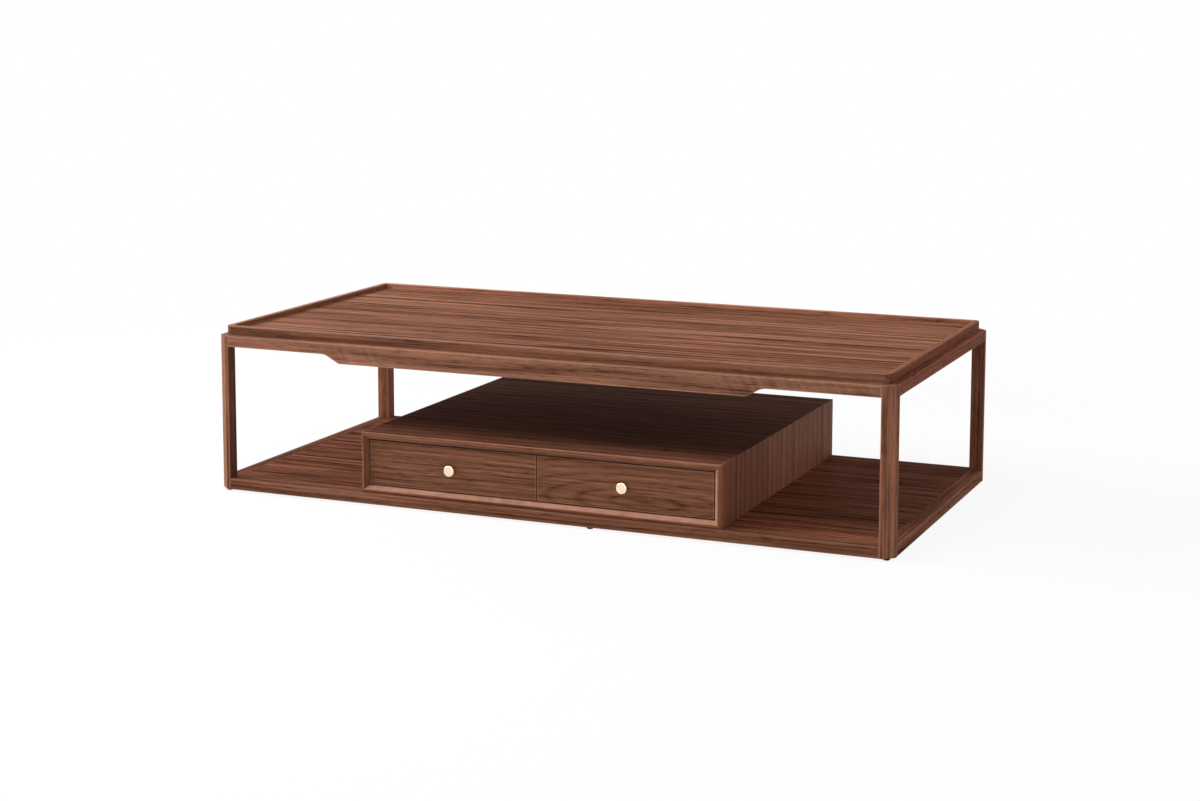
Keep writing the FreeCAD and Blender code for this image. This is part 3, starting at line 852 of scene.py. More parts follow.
@dataclass
class Shading:
    """A material while it is being wired: its nodes, its shader and the object coordinates."""

    material: bpy.types.Material

    def __post_init__(self) -> None:
        """Clears the tree and places the shader, the output and the coordinates."""
        self.material.use_nodes = True
        self.material.node_tree.nodes.clear()
        self.wiring = Wiring(self.material.node_tree)
        self.shader = self.wiring.node("ShaderNodeBsdfPrincipled")
        output = self.wiring.node("ShaderNodeOutputMaterial")
        self.wiring.feed(output.inputs["Surface"], self.shader.outputs["BSDF"])
        self.place = self.wiring.node("ShaderNodeTexCoord").outputs["Object"]

    @classmethod
    def new(cls, name: str) -> "Shading":
        """A fresh material of that name."""
        return cls(bpy.data.materials.new(name))

    def mapped(self, turn: Sequence[float], centre: Sequence[float], shift: Sequence[float] = (0, 0, 0)) -> Socket:
        """The coordinates turned about a centre and then shifted.

        Args:
            turn: Angles in degrees.
            centre: Point that goes to the shift.
            shift: Where the centre goes.

        Returns:
            The mapped coordinates.
        """
        angles = Euler([math.radians(angle) for angle in turn])
        node = self.wiring.node("ShaderNodeMapping")
        self.wiring.feed(node.inputs["Vector"], self.place)
        node.inputs["Rotation"].default_value = angles
        node.inputs["Location"].default_value = Vector(shift) - angles.to_matrix() @ Vector(centre)
        return node.outputs["Vector"]

    def set(self, **values: Socket | float | Sequence[float]) -> None:
        """Feeds the shader's sockets, named with _ for a space."""
        for label, value in values.items():
            self.wiring.feed(self.shader.inputs[label.replace("_", " ")], value)

    def bump(self, height: Socket, strength: float, distance: float) -> None:
        """Raises the surface before shading.

        Args:
            height: Height from 0 to 1.
            strength: Share of the raising that shows.
            distance: Height of 1 in metres.
        """
        node = self.wiring.node("ShaderNodeBump")
        for label, value in (("Strength", strength), ("Distance", distance), ("Height", height)):
            self.wiring.feed(node.inputs[label], value)
        self.wiring.feed(self.shader.inputs["Normal"], node.outputs["Normal"])


@dataclass(frozen=True)
class Wood:
    """A lacquered wood.

    Attributes:
        slot: Record slot that the finish belongs to.
        dark: Colour of the darkest streaks.
        middle: Colour of most of the wood.
        light: Colour of the lightest streaks.
        worn_and_lit: Colour of rubbed edges and painted highlights along the arrises, and of painted light on lit
            flats.
        grain: Way that the grain runs.
        seed: Place in the log that the board is cut from.
        tone: Brightness of the board beside the others, set board by board, so that it partly paints the light and
            shade on it.
        shade_warmth: How much redder the board is than the others, which paints the redder hue of shade; below 0 on a
            lit board.
        heart: The log's heart from the board's middle, along and across the grain and deep.
        lean: How far the heart moves across and deep for each metre along.
        rings: Growth rings to a metre.
        ring_depth: Darkness of the rings.
        figure: Rings that the warp moves the figure by.
        streak: Strength of the streaks.
        lines: Darkness of the thin lines.
        fleck: Darkness of the flecks where lines cluster.
        breadth: Size of streaks, lines and flecks beside those of a narrow board.
        ripple: Strength of the bands across the grain.
        leaf: Width of a veneer leaf, larger than the board for solid wood.
        wear_and_highlight: Strength of the rubbing and painted highlight along the arrises.
        wear_and_highlight_width: Width of that rubbing and painted highlight.
        gloss: Specular level of the lacquer.
    """

    slot: Slot
    dark: Colour
    middle: Colour
    light: Colour
    worn_and_lit: Colour
    grain: Grain = Grain.LENGTH
    seed: float = 0.0
    tone: float = 1.0
    shade_warmth: float = 0.0
    heart: Triple = (0.0, 1.0, 0.6)
    lean: Triple = (0.0, 0.0, 0.0)
    rings: float = 40.0
    ring_depth: float = 0.22
    figure: float = 2.0
    streak: float = 0.85
    lines: float = 0.26
    fleck: float = 0.1
    breadth: float = 1.0
    ripple: float = 0.0
    leaf: float = 9.0
    wear_and_highlight: float = 0.55
    wear_and_highlight_width: float = 0.0026
    gloss: float = 0.03

    def toned(self, colour: Colour) -> Colour:
        """A colour at this board's brightness and redness, where the redness paints the redder hue of shade."""
        return tuple(self.tone * part * (1.0 - self.shade_warmth * cut) for part, cut in zip(colour, SHADE_WARMTH_CUT)) + (1.0,)

    def material(self, name: str, low: Vector, high: Vector) -> bpy.types.Material:
        """Makes the material of one board.

        Args:
            name: Name of the board.
            low: Lowest corner of the board.
            high: Highest corner of the board.

        Returns:
            The material.
        """
        shading = Shading.new(f"{self.slot.value}_{name}")
        shift = Vector([start + step * self.seed for start, step in zip(SEED_START, SEED_STEP)])
        turn = Euler([math.radians(angle) for angle in self.grain.value]).to_matrix()
        wood = WOOD_GRAIN.place(shading.wiring, **{
            "Vector": shading.mapped(self.grain.value, (0.0, 0.0, 0.0), shift),
            "Rings": self.rings, "Ring Depth": self.ring_depth, "Figure": self.figure, "Streak": self.streak,
            "Lines": self.lines, "Fleck": self.fleck, "Breadth": self.breadth, "Ripple": self.ripple,
            "Leaf": self.leaf, "Heart": shift + turn @ ((low + high) / 2.0) + Vector(self.heart), "Lean": self.lean,
            "Dark": self.toned(self.dark), "Middle": self.toned(self.middle), "Light": self.toned(self.light)})
        # Rubbed edges, painted highlights along the arrises and painted light on lit flats: the mask blends in the
        # paler arris colour.
        edge = shading.wiring.node("ShaderNodeAttribute", attribute_name=WORN_AND_LIT).outputs["Fac"]
        arris = ARRIS_WEAR_AND_HIGHLIGHT.place(shading.wiring, Vector=shading.place, Low=low, High=high, Width=self.wear_and_highlight_width,
                                 Edge=edge)
        worn_and_lit = shading.wiring.math("MULTIPLY", arris["Mask"], self.wear_and_highlight)
        shading.set(Base_Color=shading.wiring.blend(worn_and_lit, wood["Color"], self.toned(self.worn_and_lit)),
                    Roughness=wood["Roughness"], Specular_IOR_Level=self.gloss)
        shading.bump(wood["Height"], strength=0.35, distance=0.0002)
        return shading.material


@dataclass(frozen=True)
class TurnedMetal:
    """A metal with the marks of the lathe, turned about the Y axis of its piece.

    Attributes:
        slot: Record slot that the finish belongs to.
        bright: Colour of the clean metal.
        dull: Colour where it is hazed.
        roughness: Roughness of the clean metal.
        mark_roughness: How far the lathe's marks move it.
        haze_roughness: What the haze adds to it.
        haze_range: Levels of noise between which the haze grows.
    """

    slot: Slot
    bright: Colour
    dull: Colour
    roughness: float
    mark_roughness: float = 0.12
    haze_roughness: float = 0.08
    haze_range: tuple[float, float] = (0.35, 0.75)

    def material(self, name: str, low: Vector, high: Vector) -> bpy.types.Material:
        """Makes the material of one turned piece.

        Args:
            name: Name of the piece.
            low: Lowest corner of the piece.
            high: Highest corner of the piece.

        Returns:
            The material.
        """
        shading = Shading.new(f"{self.slot.value}_{name}")
        wiring = shading.wiring
        marks = LATHE_MARKS.place(wiring, Vector=shading.mapped((90.0, 0.0, 0.0), (low + high) / 2.0))
        hazed = wiring.ramp(marks["Haze"], *self.haze_range)
        rough = wiring.total(self.roughness, wiring.swing(marks["Marks"], self.mark_roughness),
                             wiring.math("MULTIPLY", hazed, self.haze_roughness))
        shading.set(Base_Color=wiring.blend(hazed, self.bright, self.dull), Roughness=rough, Metallic=1.0)
        shading.bump(marks["Marks"], strength=0.25, distance=0.00004)
        return shading.material


@dataclass(frozen=True)
class MouldedPlastic:
    """A plastic with the fine grain of its mould and some scuffs.

    Attributes:
        slot: Record slot that the finish belongs to.
        colour: Colour of the plastic.
        scuffed: Colour where it is scuffed.
        gloss: Specular level of the plastic.
        roughness: Roughness of the plastic.
        grain_roughness: How far the grain moves it.
        scuff_roughness: What scuffs add to it.
    """

    slot: Slot
    colour: Colour
    scuffed: Colour
    gloss: float = 0.12
    roughness: float = 0.5
    grain_roughness: float = 0.2
    scuff_roughness: float = 0.2

    def material(self, name: str, low: Vector, high: Vector) -> bpy.types.Material:
        """Makes the material of one moulded piece, with scuffs that grow towards its low side.

        Args:
            name: Name of the piece.
            low: Lowest corner of the piece.
            high: Highest corner of the piece.

        Returns:
            The material.
        """
        shading = Shading.new(f"{self.slot.value}_{name}")
        wiring = shading.wiring
        speckle = wiring.noise(shading.place, Noise.SPECKLE)
        _, _, height = wiring.parts(shading.place)
        lowness = wiring.math("SUBTRACT", 1.0, wiring.ramp(height, low.z, high.z))
        scuff = wiring.math("MULTIPLY", lowness, wiring.noise(shading.place, Noise.SCUFF))
        rough = wiring.total(self.roughness, wiring.swing(speckle, self.grain_roughness),
                             wiring.math("MULTIPLY", scuff, self.scuff_roughness))
        shading.set(Base_Color=wiring.blend(scuff, self.colour, self.scuffed), Roughness=rough,
                    Specular_IOR_Level=self.gloss)
        shading.bump(speckle, strength=0.3, distance=0.00005)
        return shading.material


@dataclass(frozen=True)
class PlatedSteel:
    """Bright plated steel with a fine haze.

    Attributes:
        slot: Record slot that the finish belongs to.
        bright: Colour of the plating.
        dull: Colour of the haze.
        roughness: Roughness of the clean plating.
        haze_roughness: What the haze adds to it.
        high_haze: Share of the haze at the high end.
    """

    slot: Slot
    bright: Colour
    dull: Colour
    roughness: float = 0.2
    haze_roughness: float = 0.25
    high_haze: float = 0.5

    def material(self, name: str, low: Vector, high: Vector) -> bpy.types.Material:
        """Makes the material of one plated piece, hazed most near its low end.

        Args:
            name: Name of the piece.
            low: Lowest corner of the piece.
            high: Highest corner of the piece.

        Returns:
            The material.
        """
        shading = Shading.new(f"{self.slot.value}_{name}")
        wiring = shading.wiring
        _, _, height = wiring.parts(shading.place)
        lowness = wiring.math("SUBTRACT", 1.0, wiring.ramp(height, low.z, high.z))
        haze = wiring.noise(shading.place, Noise.HAZE)
        share = wiring.math("MULTIPLY", haze,
                            wiring.math("MULTIPLY_ADD", lowness, 1.0 - self.high_haze, self.high_haze))
        shading.set(Base_Color=wiring.blend(share, self.bright, self.dull), Metallic=1.0,
                    Roughness=wiring.math("MULTIPLY_ADD", haze, self.haze_roughness, self.roughness))
        shading.bump(haze, strength=0.15, distance=0.00004)
        return shading.material


Finish = Wood | TurnedMetal | MouldedPlastic | PlatedSteel

WALNUT = Wood(
    slot=Slot.WALNUT,
    dark=linear(62, 33, 22),
    middle=linear(120, 78, 59),
    light=linear(162, 113, 89),
    worn_and_lit=linear(190, 145, 122),
)
BOX_WOOD = Wood(
    slot=Slot.DRAWER_WOOD,
    dark=linear(176, 142, 104),
    middle=linear(206, 176, 138),
    light=linear(224, 200, 166),
    worn_and_lit=linear(230, 210, 182),
    rings=110.0,
    ring_depth=0.3,
    figure=3.0,
    streak=0.8,
    fleck=0.06,
)
BRASS = TurnedMetal(Slot.BRASS, bright=linear(246, 229, 198), dull=linear(232, 210, 174), roughness=0.26)
SCREW_STEEL = TurnedMetal(Slot.STEEL, bright=linear(200, 200, 198), dull=linear(150, 150, 148), roughness=0.3)
PLATED = PlatedSteel(Slot.STEEL, bright=linear(206, 206, 200), dull=linear(150, 148, 140))
BLACK_PLASTIC = MouldedPlastic(Slot.PLASTIC, colour=linear(14, 14, 15), scuffed=linear(30, 30, 30))


def add_piece(name: str, surface: Surface, finish: Finish, body: Body, *nodes: str) -> None:
    """Adds a piece in its finish that rides on a body and stands for CAD nodes.

    Args:
        name: Name of the piece.
        surface: Its shape, in place.
        finish: Its finish.
        body: Body that it rides on.
        nodes: Nodes that it stands for.
    """
    piece = bpy.data.objects.new(name, surface.mesh(name))
    bpy.context.scene.collection.objects.link(piece)
    piece.data.materials.append(finish.material(name, *surface.box()))
    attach(piece, body.value)
    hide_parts(*nodes)
    LOG.info("%s: %d points, %s, on %s", name, len(surface.points), finish.slot.value, body.value)


def dress_node(node: str, finish: Finish) -> None:
    """Gives a CAD node its finish.

    Args:
        node: Name of the node.
        finish: The finish.
    """
    low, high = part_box(node)
    material = finish.material(node, Vector(low), Vector(high))
    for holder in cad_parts[node].material_slots:
        holder.material = material
    LOG.info("%s: kept, %s", node, finish.slot.value)


def frame_bar(node: str, outward: np.ndarray, outer: float, inner: float, bends: np.ndarray | None = None) -> Surface:
    """A bar of the frame between two legs: a rectangle carried from leg to leg, with its outer arrises eased most.

    Args:
        node: Node that it stands for.
        outward: Direction that its outer face looks.
        outer: Radius of its two outer arrises.
        inner: Radius of its two inner arrises and of its shoulders.
        bends: Rows of distance along the bar, drop and slope, for a lower edge that isn't straight.

    Returns:
        The bar's surface.
    """
    low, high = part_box(node)
    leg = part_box("leg_back_right")[0]
    corner = np.where(outward < 0.0, low, high) * np.abs(outward)
    along = RIGHTWARD * leg.x if abs(outward[1]) > 0.5 else BACKWARD * leg.y
    width = float(np.abs(outward) @ np.array(high - low))
    foot = low.z + (0.0 if bends is None else float(bends[:, 1].max()))
    section = Profile.rounded((Corner(0.0, foot, outer, lower=1.0), Corner(0.0, high.z, outer),
                               Corner(-width, high.z, inner), Corner(-width, foot, inner, lower=1.0)))
    path = Path.straight(corner - along, corner + along, outward, UPWARD, ease=(inner, inner), bends=bends)
    return Surface.carried(section, path)


@dataclass
class Tray:
    """The tray top: a sunk panel inside four mitred rim strips with rounded corners.

    Attributes:
        rim_width: Width of a rim strip.
        outer_round: Radius of the tray's outer corners.
        inner_round: Radius of the inner corners.
        arris: Radius of the two upper arrises.
        small_arris: Radius of the others.
        rebate: Depth of the rebate that takes the panel.
        top_light: Painted light on the rim's top face, as a share of the paler arris colour.
    """

    rim_width: float = 0.012
    outer_round: float = 0.014
    inner_round: float = 0.005
    arris: float = 0.0012
    small_arris: float = 0.0004
    rebate: float = 0.005
    top_light: float = 1.0

    def rim_path(self, quarter: int, half_length: float, reach: float) -> Path:
        """The path of one rim strip, from mitre to mitre round its half of both corners.

        The outer line is a straight run between two eighth turns of the outer radius, and the inner line the same
        with the inner radius, so both meet the next strip on the diagonal. Their directions are the same at each
        station, and a quarter turn about Z takes the front strip to the next side.

        Args:
            quarter: Quarter turns from the front strip.
            half_length: Half the tray's size along the strip.
            reach: Half the tray's size across it.

        Returns:
            The path.
        """
        swing = np.linspace(-math.pi / 4.0, 0.0, 2 * ARC_STEPS)
        angle = np.concatenate((swing, -swing[::-1]))
        side = np.concatenate((-np.ones(len(swing)), np.ones(len(swing))))
        flat = np.zeros(len(angle))
        outward = np.stack((np.sin(angle), -np.cos(angle), flat), axis=1)
        middle = np.stack((side, -np.ones(len(side)), flat), axis=1)
        size = np.array((half_length, reach, 0.0))
        outer = middle * (size - self.outer_round) + self.outer_round * outward
        inset = self.rim_width + self.inner_round
        inner = middle * (size - inset) + self.inner_round * outward
        turn = np.array(Euler((0.0, 0.0, quarter * math.pi / 2.0)).to_matrix())
        return Path(
            line=outer * (1.0, 1.0, 0.0) @ turn.T,
            outward=outward @ turn.T,
            upward=UPWARD,
            forward=np.stack((np.cos(angle), np.sin(angle), flat), axis=1) @ turn.T,
            gap=((inner - outer) * (1.0, 1.0, 0.0) + self.rim_width * outward) @ turn.T,
            inset=flat, lean=flat, drop=flat, slope=flat,
        )

    def build(self) -> None:
        """Builds the four rim strips and dresses the panel."""
        low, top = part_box("rim_front")
        half_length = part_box("rim_right")[1].x
        half_width = -low.y
        ledge = low.z + self.rebate
        inner = -self.rim_width
        # The rim's top face is painted lighter as light from above, and its arrises take painted highlights with their
        # rubbing.
        profile = Profile.rounded((
            Corner(0.0, low.z, self.small_arris),
            Corner(0.0, top.z, self.arris, after=self.top_light),
            Corner(inner, top.z, self.arris, share=1.0),
            Corner(inner, ledge, self.small_arris, share=1.0),
            Corner(inner + self.rebate, ledge, self.small_arris, share=1.0),
            Corner(inner + self.rebate, low.z, self.small_arris, share=1.0),
        ))
        # The side strips are made redder to paint the redder hue of shade.
        finishes = {
            "front": replace(WALNUT, seed=1.3, tone=0.95, wear_and_highlight=0.25),
            "right": replace(WALNUT, grain=Grain.DEPTH, seed=2.1, tone=0.95, shade_warmth=1.4, wear_and_highlight=0.2),
            "back": replace(WALNUT, seed=3.4, tone=1.75, wear_and_highlight=0.2),
            "left": replace(WALNUT, grain=Grain.DEPTH, seed=4.2, shade_warmth=0.6, wear_and_highlight=0.25),
        }
        for quarter, (side, finish) in enumerate(finishes.items()):
            along, across = (half_length, half_width) if quarter % 2 == 0 else (half_width, half_length)
            surface = Surface.carried(profile, self.rim_path(quarter, along, across))
            add_piece(f"eased_rim_{side}", surface, finish, Body.TABLE, f"rim_{side}")
        dress_node("top_panel", replace(WALNUT, seed=5.0, tone=1.22, rings=44.0, ring_depth=0.25, figure=1.8,
                                        streak=1.2, lines=0.28, fleck=0.5, breadth=2.2, leaf=VENEER_LEAF, wear_and_highlight=0.0,
                                        gloss=MATT))


@dataclass(frozen=True)
class Leg:
    """One leg's place and looks.

    Attributes:
        right: 1 for a leg on the right, -1 on the left.
        back: 1 for a leg at the back, -1 at the front.
        finish: Finish of the leg.
        cut_highlight: Painted highlight on the flat of the cut corner.
        arris_wear_and_highlight: Rubbing and painted highlight of the arrises beside it.
    """

    right: int
    back: int
    finish: Wood
    cut_highlight: float = 0.5
    arris_wear_and_highlight: float = 1.0

    @property
    def node(self) -> str:
        """The name of the leg's node."""
        return f"leg_{'back' if self.back > 0 else 'front'}_{'right' if self.right > 0 else 'left'}"


@dataclass
class LegFrame:
    """Four cut-cornered legs and the aprons between them.

    Attributes:
        cut: Length of a leg's side that the cut corner takes.
        arris: Radius of the outer arrises.
        small_arris: Radius of the inner arrises and the shoulders.
        low_half: Half length of the deep middle of a long apron.
        slope_run: Length of the slope from the middle to the ends.
        hollow: Radius of the hollow at the top of the slope.
        toe: Radius at its foot.
        end_height: Height of a long apron at its ends.
    """

    cut: float = 0.0185
    arris: float = 0.0015
    small_arris: float = 0.0004
    low_half: float = 0.421
    slope_run: float = 0.0305
    hollow: float = 0.036
    toe: float = 0.010
    end_height: float = 0.022

    def leg(self, leg: Leg) -> Surface:
        """One leg: a square with its outer corner cut flat, carried upwards and eased at the top and foot.

        Args:
            leg: The leg's place and looks.

        Returns:
            The leg's surface.
        """
        low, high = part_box(leg.node)
        side = high.x - low.x
        square = (
            Corner(-side, -side, self.small_arris),
            Corner(0.0, -side, self.small_arris),
            Corner(0.0, -self.cut, self.arris, after=leg.cut_highlight, wear_and_highlight=leg.arris_wear_and_highlight),
            Corner(-self.cut, 0.0, self.arris, wear_and_highlight=leg.arris_wear_and_highlight),
            Corner(-side, 0.0, self.small_arris),
        )
        edge = (high.x if leg.right > 0 else low.x, high.y if leg.back > 0 else low.y)
        path = Path.straight((*edge, low.z), (*edge, high.z), leg.right * RIGHTWARD, leg.back * BACKWARD,
                             ease=(self.small_arris, self.arris))
        return Surface.carried(Profile.rounded(square), path)

    def bends(self) -> np.ndarray:
        """The lower edge of a long apron: level, down a slope through a hollow and a toe, level, and up again.

        The hollow is r (1 - cos t) deep at r sin t along, with t from 0 to the slope's angle, and the toe the same
        from below.

        Returns:
            Rows of distance along, drop and slope.
        """
        low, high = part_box("apron_front")
        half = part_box("leg_back_right")[0].x
        drop = high.z - low.z - self.end_height
        steep = math.atan2(drop, self.slope_run)
        angle = np.linspace(0.0, steep, 2 * ARC_STEPS)
        along, deep, rate = np.sin(angle), 1.0 - np.cos(angle), np.tan(angle)
        top = half - self.low_half - self.slope_run - self.hollow * math.tan(steep / 2.0)
        foot = half - self.low_half + self.toe * math.tan(steep / 2.0)
        upper = np.stack((top + self.hollow * along, self.hollow * deep, rate), axis=1)
        lower = np.stack((foot - self.toe * along, drop - self.toe * deep, rate), axis=1)
        down = np.concatenate((upper, lower[::-1]))
        up = down[::-1] * (-1.0, 1.0, -1.0) + (2.0 * half, 0.0, 0.0)
        return np.concatenate((down, up))

    def build(self) -> None:
        """Builds the legs and aprons, and dresses the battens under the tray."""
        # The legs are made redder to paint the redder hue of shade, their cut faces take painted highlights, and the
        # back legs' higher tone paints light onto legs that stand in shade.
        post = replace(WALNUT, grain=Grain.HEIGHT, rings=90.0, ring_depth=0.15, streak=0.8, shade_warmth=0.35, wear_and_highlight=0.25)
        legs = (
            Leg(-1, -1, replace(post, seed=6.0, tone=0.95, shade_warmth=0.2, streak=1.1, wear_and_highlight=0.5),
                cut_highlight=0.4, arris_wear_and_highlight=0.7),
            Leg(1, -1, replace(post, seed=14.65, tone=1.15, shade_warmth=0.3, streak=1.5, wear_and_highlight=0.4),
                cut_highlight=0.3, arris_wear_and_highlight=0.3),
            Leg(-1, 1, replace(post, seed=7.4, tone=1.2)),
            Leg(1, 1, replace(post, seed=8.1, tone=1.3)),
        )
        for leg in legs:
            add_piece(f"eased_{leg.node}", self.leg(leg), leg.finish, Body.TABLE, leg.node)
        # The long aprons are made less red, as lit front faces, and the short aprons redder, to paint the redder hue
        # of shade on the side faces.
        long = replace(WALNUT, seed=9.8, tone=1.33, shade_warmth=-0.5, streak=0.5, lines=0.18, ripple=0.35, wear_and_highlight=0.2)
        short = replace(WALNUT, grain=Grain.DEPTH, seed=11.2, tone=0.98, shade_warmth=1.5, wear_and_highlight=0.12)
        bends = self.bends()
        aprons = {
            "front": (-BACKWARD, long, bends), "back": (BACKWARD, replace(long, seed=10.3), bends),
            "left": (-RIGHTWARD, short, None), "right": (RIGHTWARD, replace(short, seed=12.4), None),
        }
        for side, (outward, finish, lower_edge) in aprons.items():
            node = f"apron_{side}"
            surface = frame_bar(node, outward, self.arris, self.small_arris, lower_edge)
            add_piece(f"eased_{node}", surface, finish, Body.TABLE, node)
        for number, place in enumerate(("left", "middle", "right")):
            dress_node(f"top_batten_{place}", replace(WALNUT, grain=Grain.DEPTH, seed=13.0 + number, tone=0.85))


@dataclass
class BaseShelf:
    """The base between the feet: four rails, a flush panel, battens and domed glides.

    Attributes:
        arris: Radius of a rail's outer arrises.
        small_arris: Radius of the inner arrises and the shoulders.
        glide_radius: Radius of a glide.
        glide_dome: Radius of its domed edge.
        glide_inset: Distance of a leg's glide from the table's outer faces.
        rail_glide: Distance of a rail's glide from the middle of the rail.
    """

    arris: float = 0.0015
    small_arris: float = 0.0006
    glide_radius: float = 0.007
    glide_dome: float = 0.0034
    glide_inset: float = 0.0165
    rail_glide: float = 0.110

    def glides(self) -> Surface:
        """The domed glides under the legs and the long rails, each a profile turned about an upright axis.

        Returns:
            All of them as one surface.
        """
        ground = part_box("glides")[0].z
        foot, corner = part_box("leg_back_right")
        height = foot.z - ground
        dome = Profile.rounded((
            Corner(PINHOLE, 0.0, 0.0),
            Corner(self.glide_radius, 0.0, self.glide_dome),
            Corner(self.glide_radius, height, self.small_arris),
            Corner(PINHOLE, height, 0.0),
        ), closed=False)
        across, back = corner.x - self.glide_inset, corner.y - self.glide_inset
        spots = [(right * across, end * back) for right in (-1, 1) for end in (-1, 1)]
        rail = sum(end.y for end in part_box("base_rail_back")) / 2.0
        spots += [(self.rail_glide, -rail), (-self.rail_glide, rail)]
        return Surface.joined([Surface.carried(dome, Path.turned((*spot, ground), UPWARD)) for spot in spots])

    def build(self) -> None:
        """Builds the rails and glides, and dresses the panel, the battens and their screws."""
        # The side rails and the base panel are made redder to paint the redder hue of shade.
        sides = {"front": (-BACKWARD, Grain.LENGTH, 0.88), "back": (BACKWARD, Grain.LENGTH, 0.88),
                 "left": (-RIGHTWARD, Grain.DEPTH, 0.7), "right": (RIGHTWARD, Grain.DEPTH, 1.03)}
        for number, (side, (outward, grain, tone)) in enumerate(sides.items()):
            node = f"base_rail_{side}"
            finish = replace(WALNUT, grain=grain, seed=17.0 + 1.1 * number, tone=tone,
                             shade_warmth=0.3 if grain is Grain.DEPTH else 0.0, wear_and_highlight=0.15, gloss=MATT)
            surface = frame_bar(node, outward, self.arris, self.small_arris)
            add_piece(f"eased_{node}", surface, finish, Body.TABLE, node)
        dress_node("base_panel", replace(WALNUT, seed=24.0, tone=1.06, shade_warmth=0.75, rings=44.0, streak=1.3, lines=0.34,
                                         fleck=0.5, breadth=1.4, leaf=VENEER_LEAF, wear_and_highlight=0.0, gloss=MATT))
        for number, place in enumerate(("left", "middle", "right")):
            dress_node(f"base_batten_{place}", replace(WALNUT, grain=Grain.DEPTH, seed=23.0 + number, tone=0.85))
        dress_node("batten_screws", PLATED)
        add_piece("domed_glides", self.glides(), BLACK_PLASTIC, Body.TABLE, "glides")


@dataclass(frozen=True)
class FramedBoard:
    """One of the cabinet's four boards.

    Attributes:
        start: First corner of its outer line.
        end: Last corner of its outer line.
        outward: Direction that its outer face looks.
        finish: Finish of the board.
        bevel_light: Painted light on the inner bevel, high where the bevel faces the light.
        edge_highlight: Painted highlight on the outer bevel's outer edge.
    """

    start: Triple
    end: Triple
    outward: np.ndarray
    finish: Wood
    bevel_light: float
    edge_highlight: float


@dataclass
class Cabinet:
    """The drawer cabinet: four boards whose bevelled front edges make a mitred frame, with what is inside.

    Attributes:
        outer_bevel: Width of the outer bevel on the front edges.
        outer_depth: How far that bevel goes back.
        ridge: Width of the ridge between the bevels.
        arris: Radius of the arrises.
        ridge_wear_and_highlight: Rubbing and painted highlight of the ridge and of the inner edge.
    """

    outer_bevel: float = 0.0056
    outer_depth: float = 0.003
    ridge: float = 0.0008
    arris: float = 0.0004
    ridge_wear_and_highlight: float = 0.15

    def framed(self, board: FramedBoard, thickness: float) -> Surface:
        """A board from its outer face at 0 to its inner face, with heights along the depth, mitred at its ends.

        Args:
            board: The board's place and looks.
            thickness: Thickness of the board.

        Returns:
            The board's surface.
        """
        low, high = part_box("cabinet_top")
        inner_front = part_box("drawer_left_front")[0].y
        section = Profile.rounded((
            Corner(0.0, high.y, self.arris),
            Corner(-thickness, high.y, self.arris),
            Corner(-thickness, inner_front, self.arris, after=board.bevel_light, wear_and_highlight=self.ridge_wear_and_highlight),
            Corner(-self.outer_bevel - self.ridge, low.y, self.arris, wear_and_highlight=self.ridge_wear_and_highlight),
            Corner(-self.outer_bevel, low.y, self.arris, wear_and_highlight=self.ridge_wear_and_highlight),
            Corner(0.0, low.y + self.outer_depth, self.arris, wear_and_highlight=board.edge_highlight),
        )).mitred(thickness)
        path = Path.straight(board.start, board.end, board.outward, BACKWARD, mitre=thickness)
        return Surface.carried(section, path)

    def build(self) -> None:
        """Builds the four boards, and dresses the back, the divider, the runners and the screws."""
        under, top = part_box("cabinet_top")
        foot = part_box("cabinet_bottom")[0]
        low_left, low_right = (foot.x, 0.0, foot.z), (top.x, 0.0, foot.z)
        high_left, high_right = (foot.x, 0.0, top.z), (top.x, 0.0, top.z)
        # The cabinet's paler arris colour paints light on the inner bevels of the bottom and right boards, which face
        # the light, and a highlight on the top board's outer edge; the boards are made redder to paint the redder hue
        # of shade, and the top board's low tone paints the tray's shade on it.
        flat = replace(WALNUT, worn_and_lit=linear(200, 160, 140), shade_warmth=0.4, wear_and_highlight=0.75, gloss=MATT)
        upright = replace(flat, grain=Grain.HEIGHT, streak=0.6, lines=0.14, gloss=0.04, wear_and_highlight_width=HAIRLINE)
        boards = {
            "top": FramedBoard(high_left, high_right, UPWARD, replace(flat, seed=27.0, tone=0.76),
                               bevel_light=0.25, edge_highlight=1.0),
            "bottom": FramedBoard(low_left, low_right, -UPWARD, replace(flat, seed=28.3),
                                  bevel_light=0.8, edge_highlight=0.0),
            "left": FramedBoard(low_left, high_left, -RIGHTWARD, replace(upright, seed=29.6, tone=0.85),
                                bevel_light=0.0, edge_highlight=0.5),
            "right": FramedBoard(low_right, high_right, RIGHTWARD, replace(upright, seed=30.9, tone=1.1),
                                 bevel_light=0.75, edge_highlight=0.0),
        }
        for side, board in boards.items():
            surface = self.framed(board, top.z - under.z)
            add_piece(f"bevelled_cabinet_{side}", surface, board.finish, Body.TABLE, f"cabinet_{side}")
        dress_node("cabinet_back", replace(WALNUT, seed=33.0))
        dress_node("cabinet_divider", replace(WALNUT, grain=Grain.DEPTH, seed=34.0))
        dress_node("cabinet_screws", PLATED)
        for number, runner in enumerate(("left_outer", "left_inner", "right_outer", "right_inner")):
            dress_node(f"runner_{runner}", replace(BOX_WOOD, grain=Grain.DEPTH, seed=35.0 + number, tone=0.9))


# Heart of the log from the middle of each drawer's front, and how it leans across and deep for each metre along.
DRAWER_HEARTS: dict[Body, tuple[Triple, Triple]] = {
    Body.LEFT_DRAWER: ((0.0, 0.1, 0.7), (0.0, 0.0, 0.02)),
    Body.RIGHT_DRAWER: ((-0.12, 0.025, -0.018), (0.0, 0.17, 0.0)),
}
# Seed of the first board of each drawer's box.
BOX_SEEDS: dict[Body, float] = {Body.LEFT_DRAWER: 50.0, Body.RIGHT_DRAWER: 60.0}


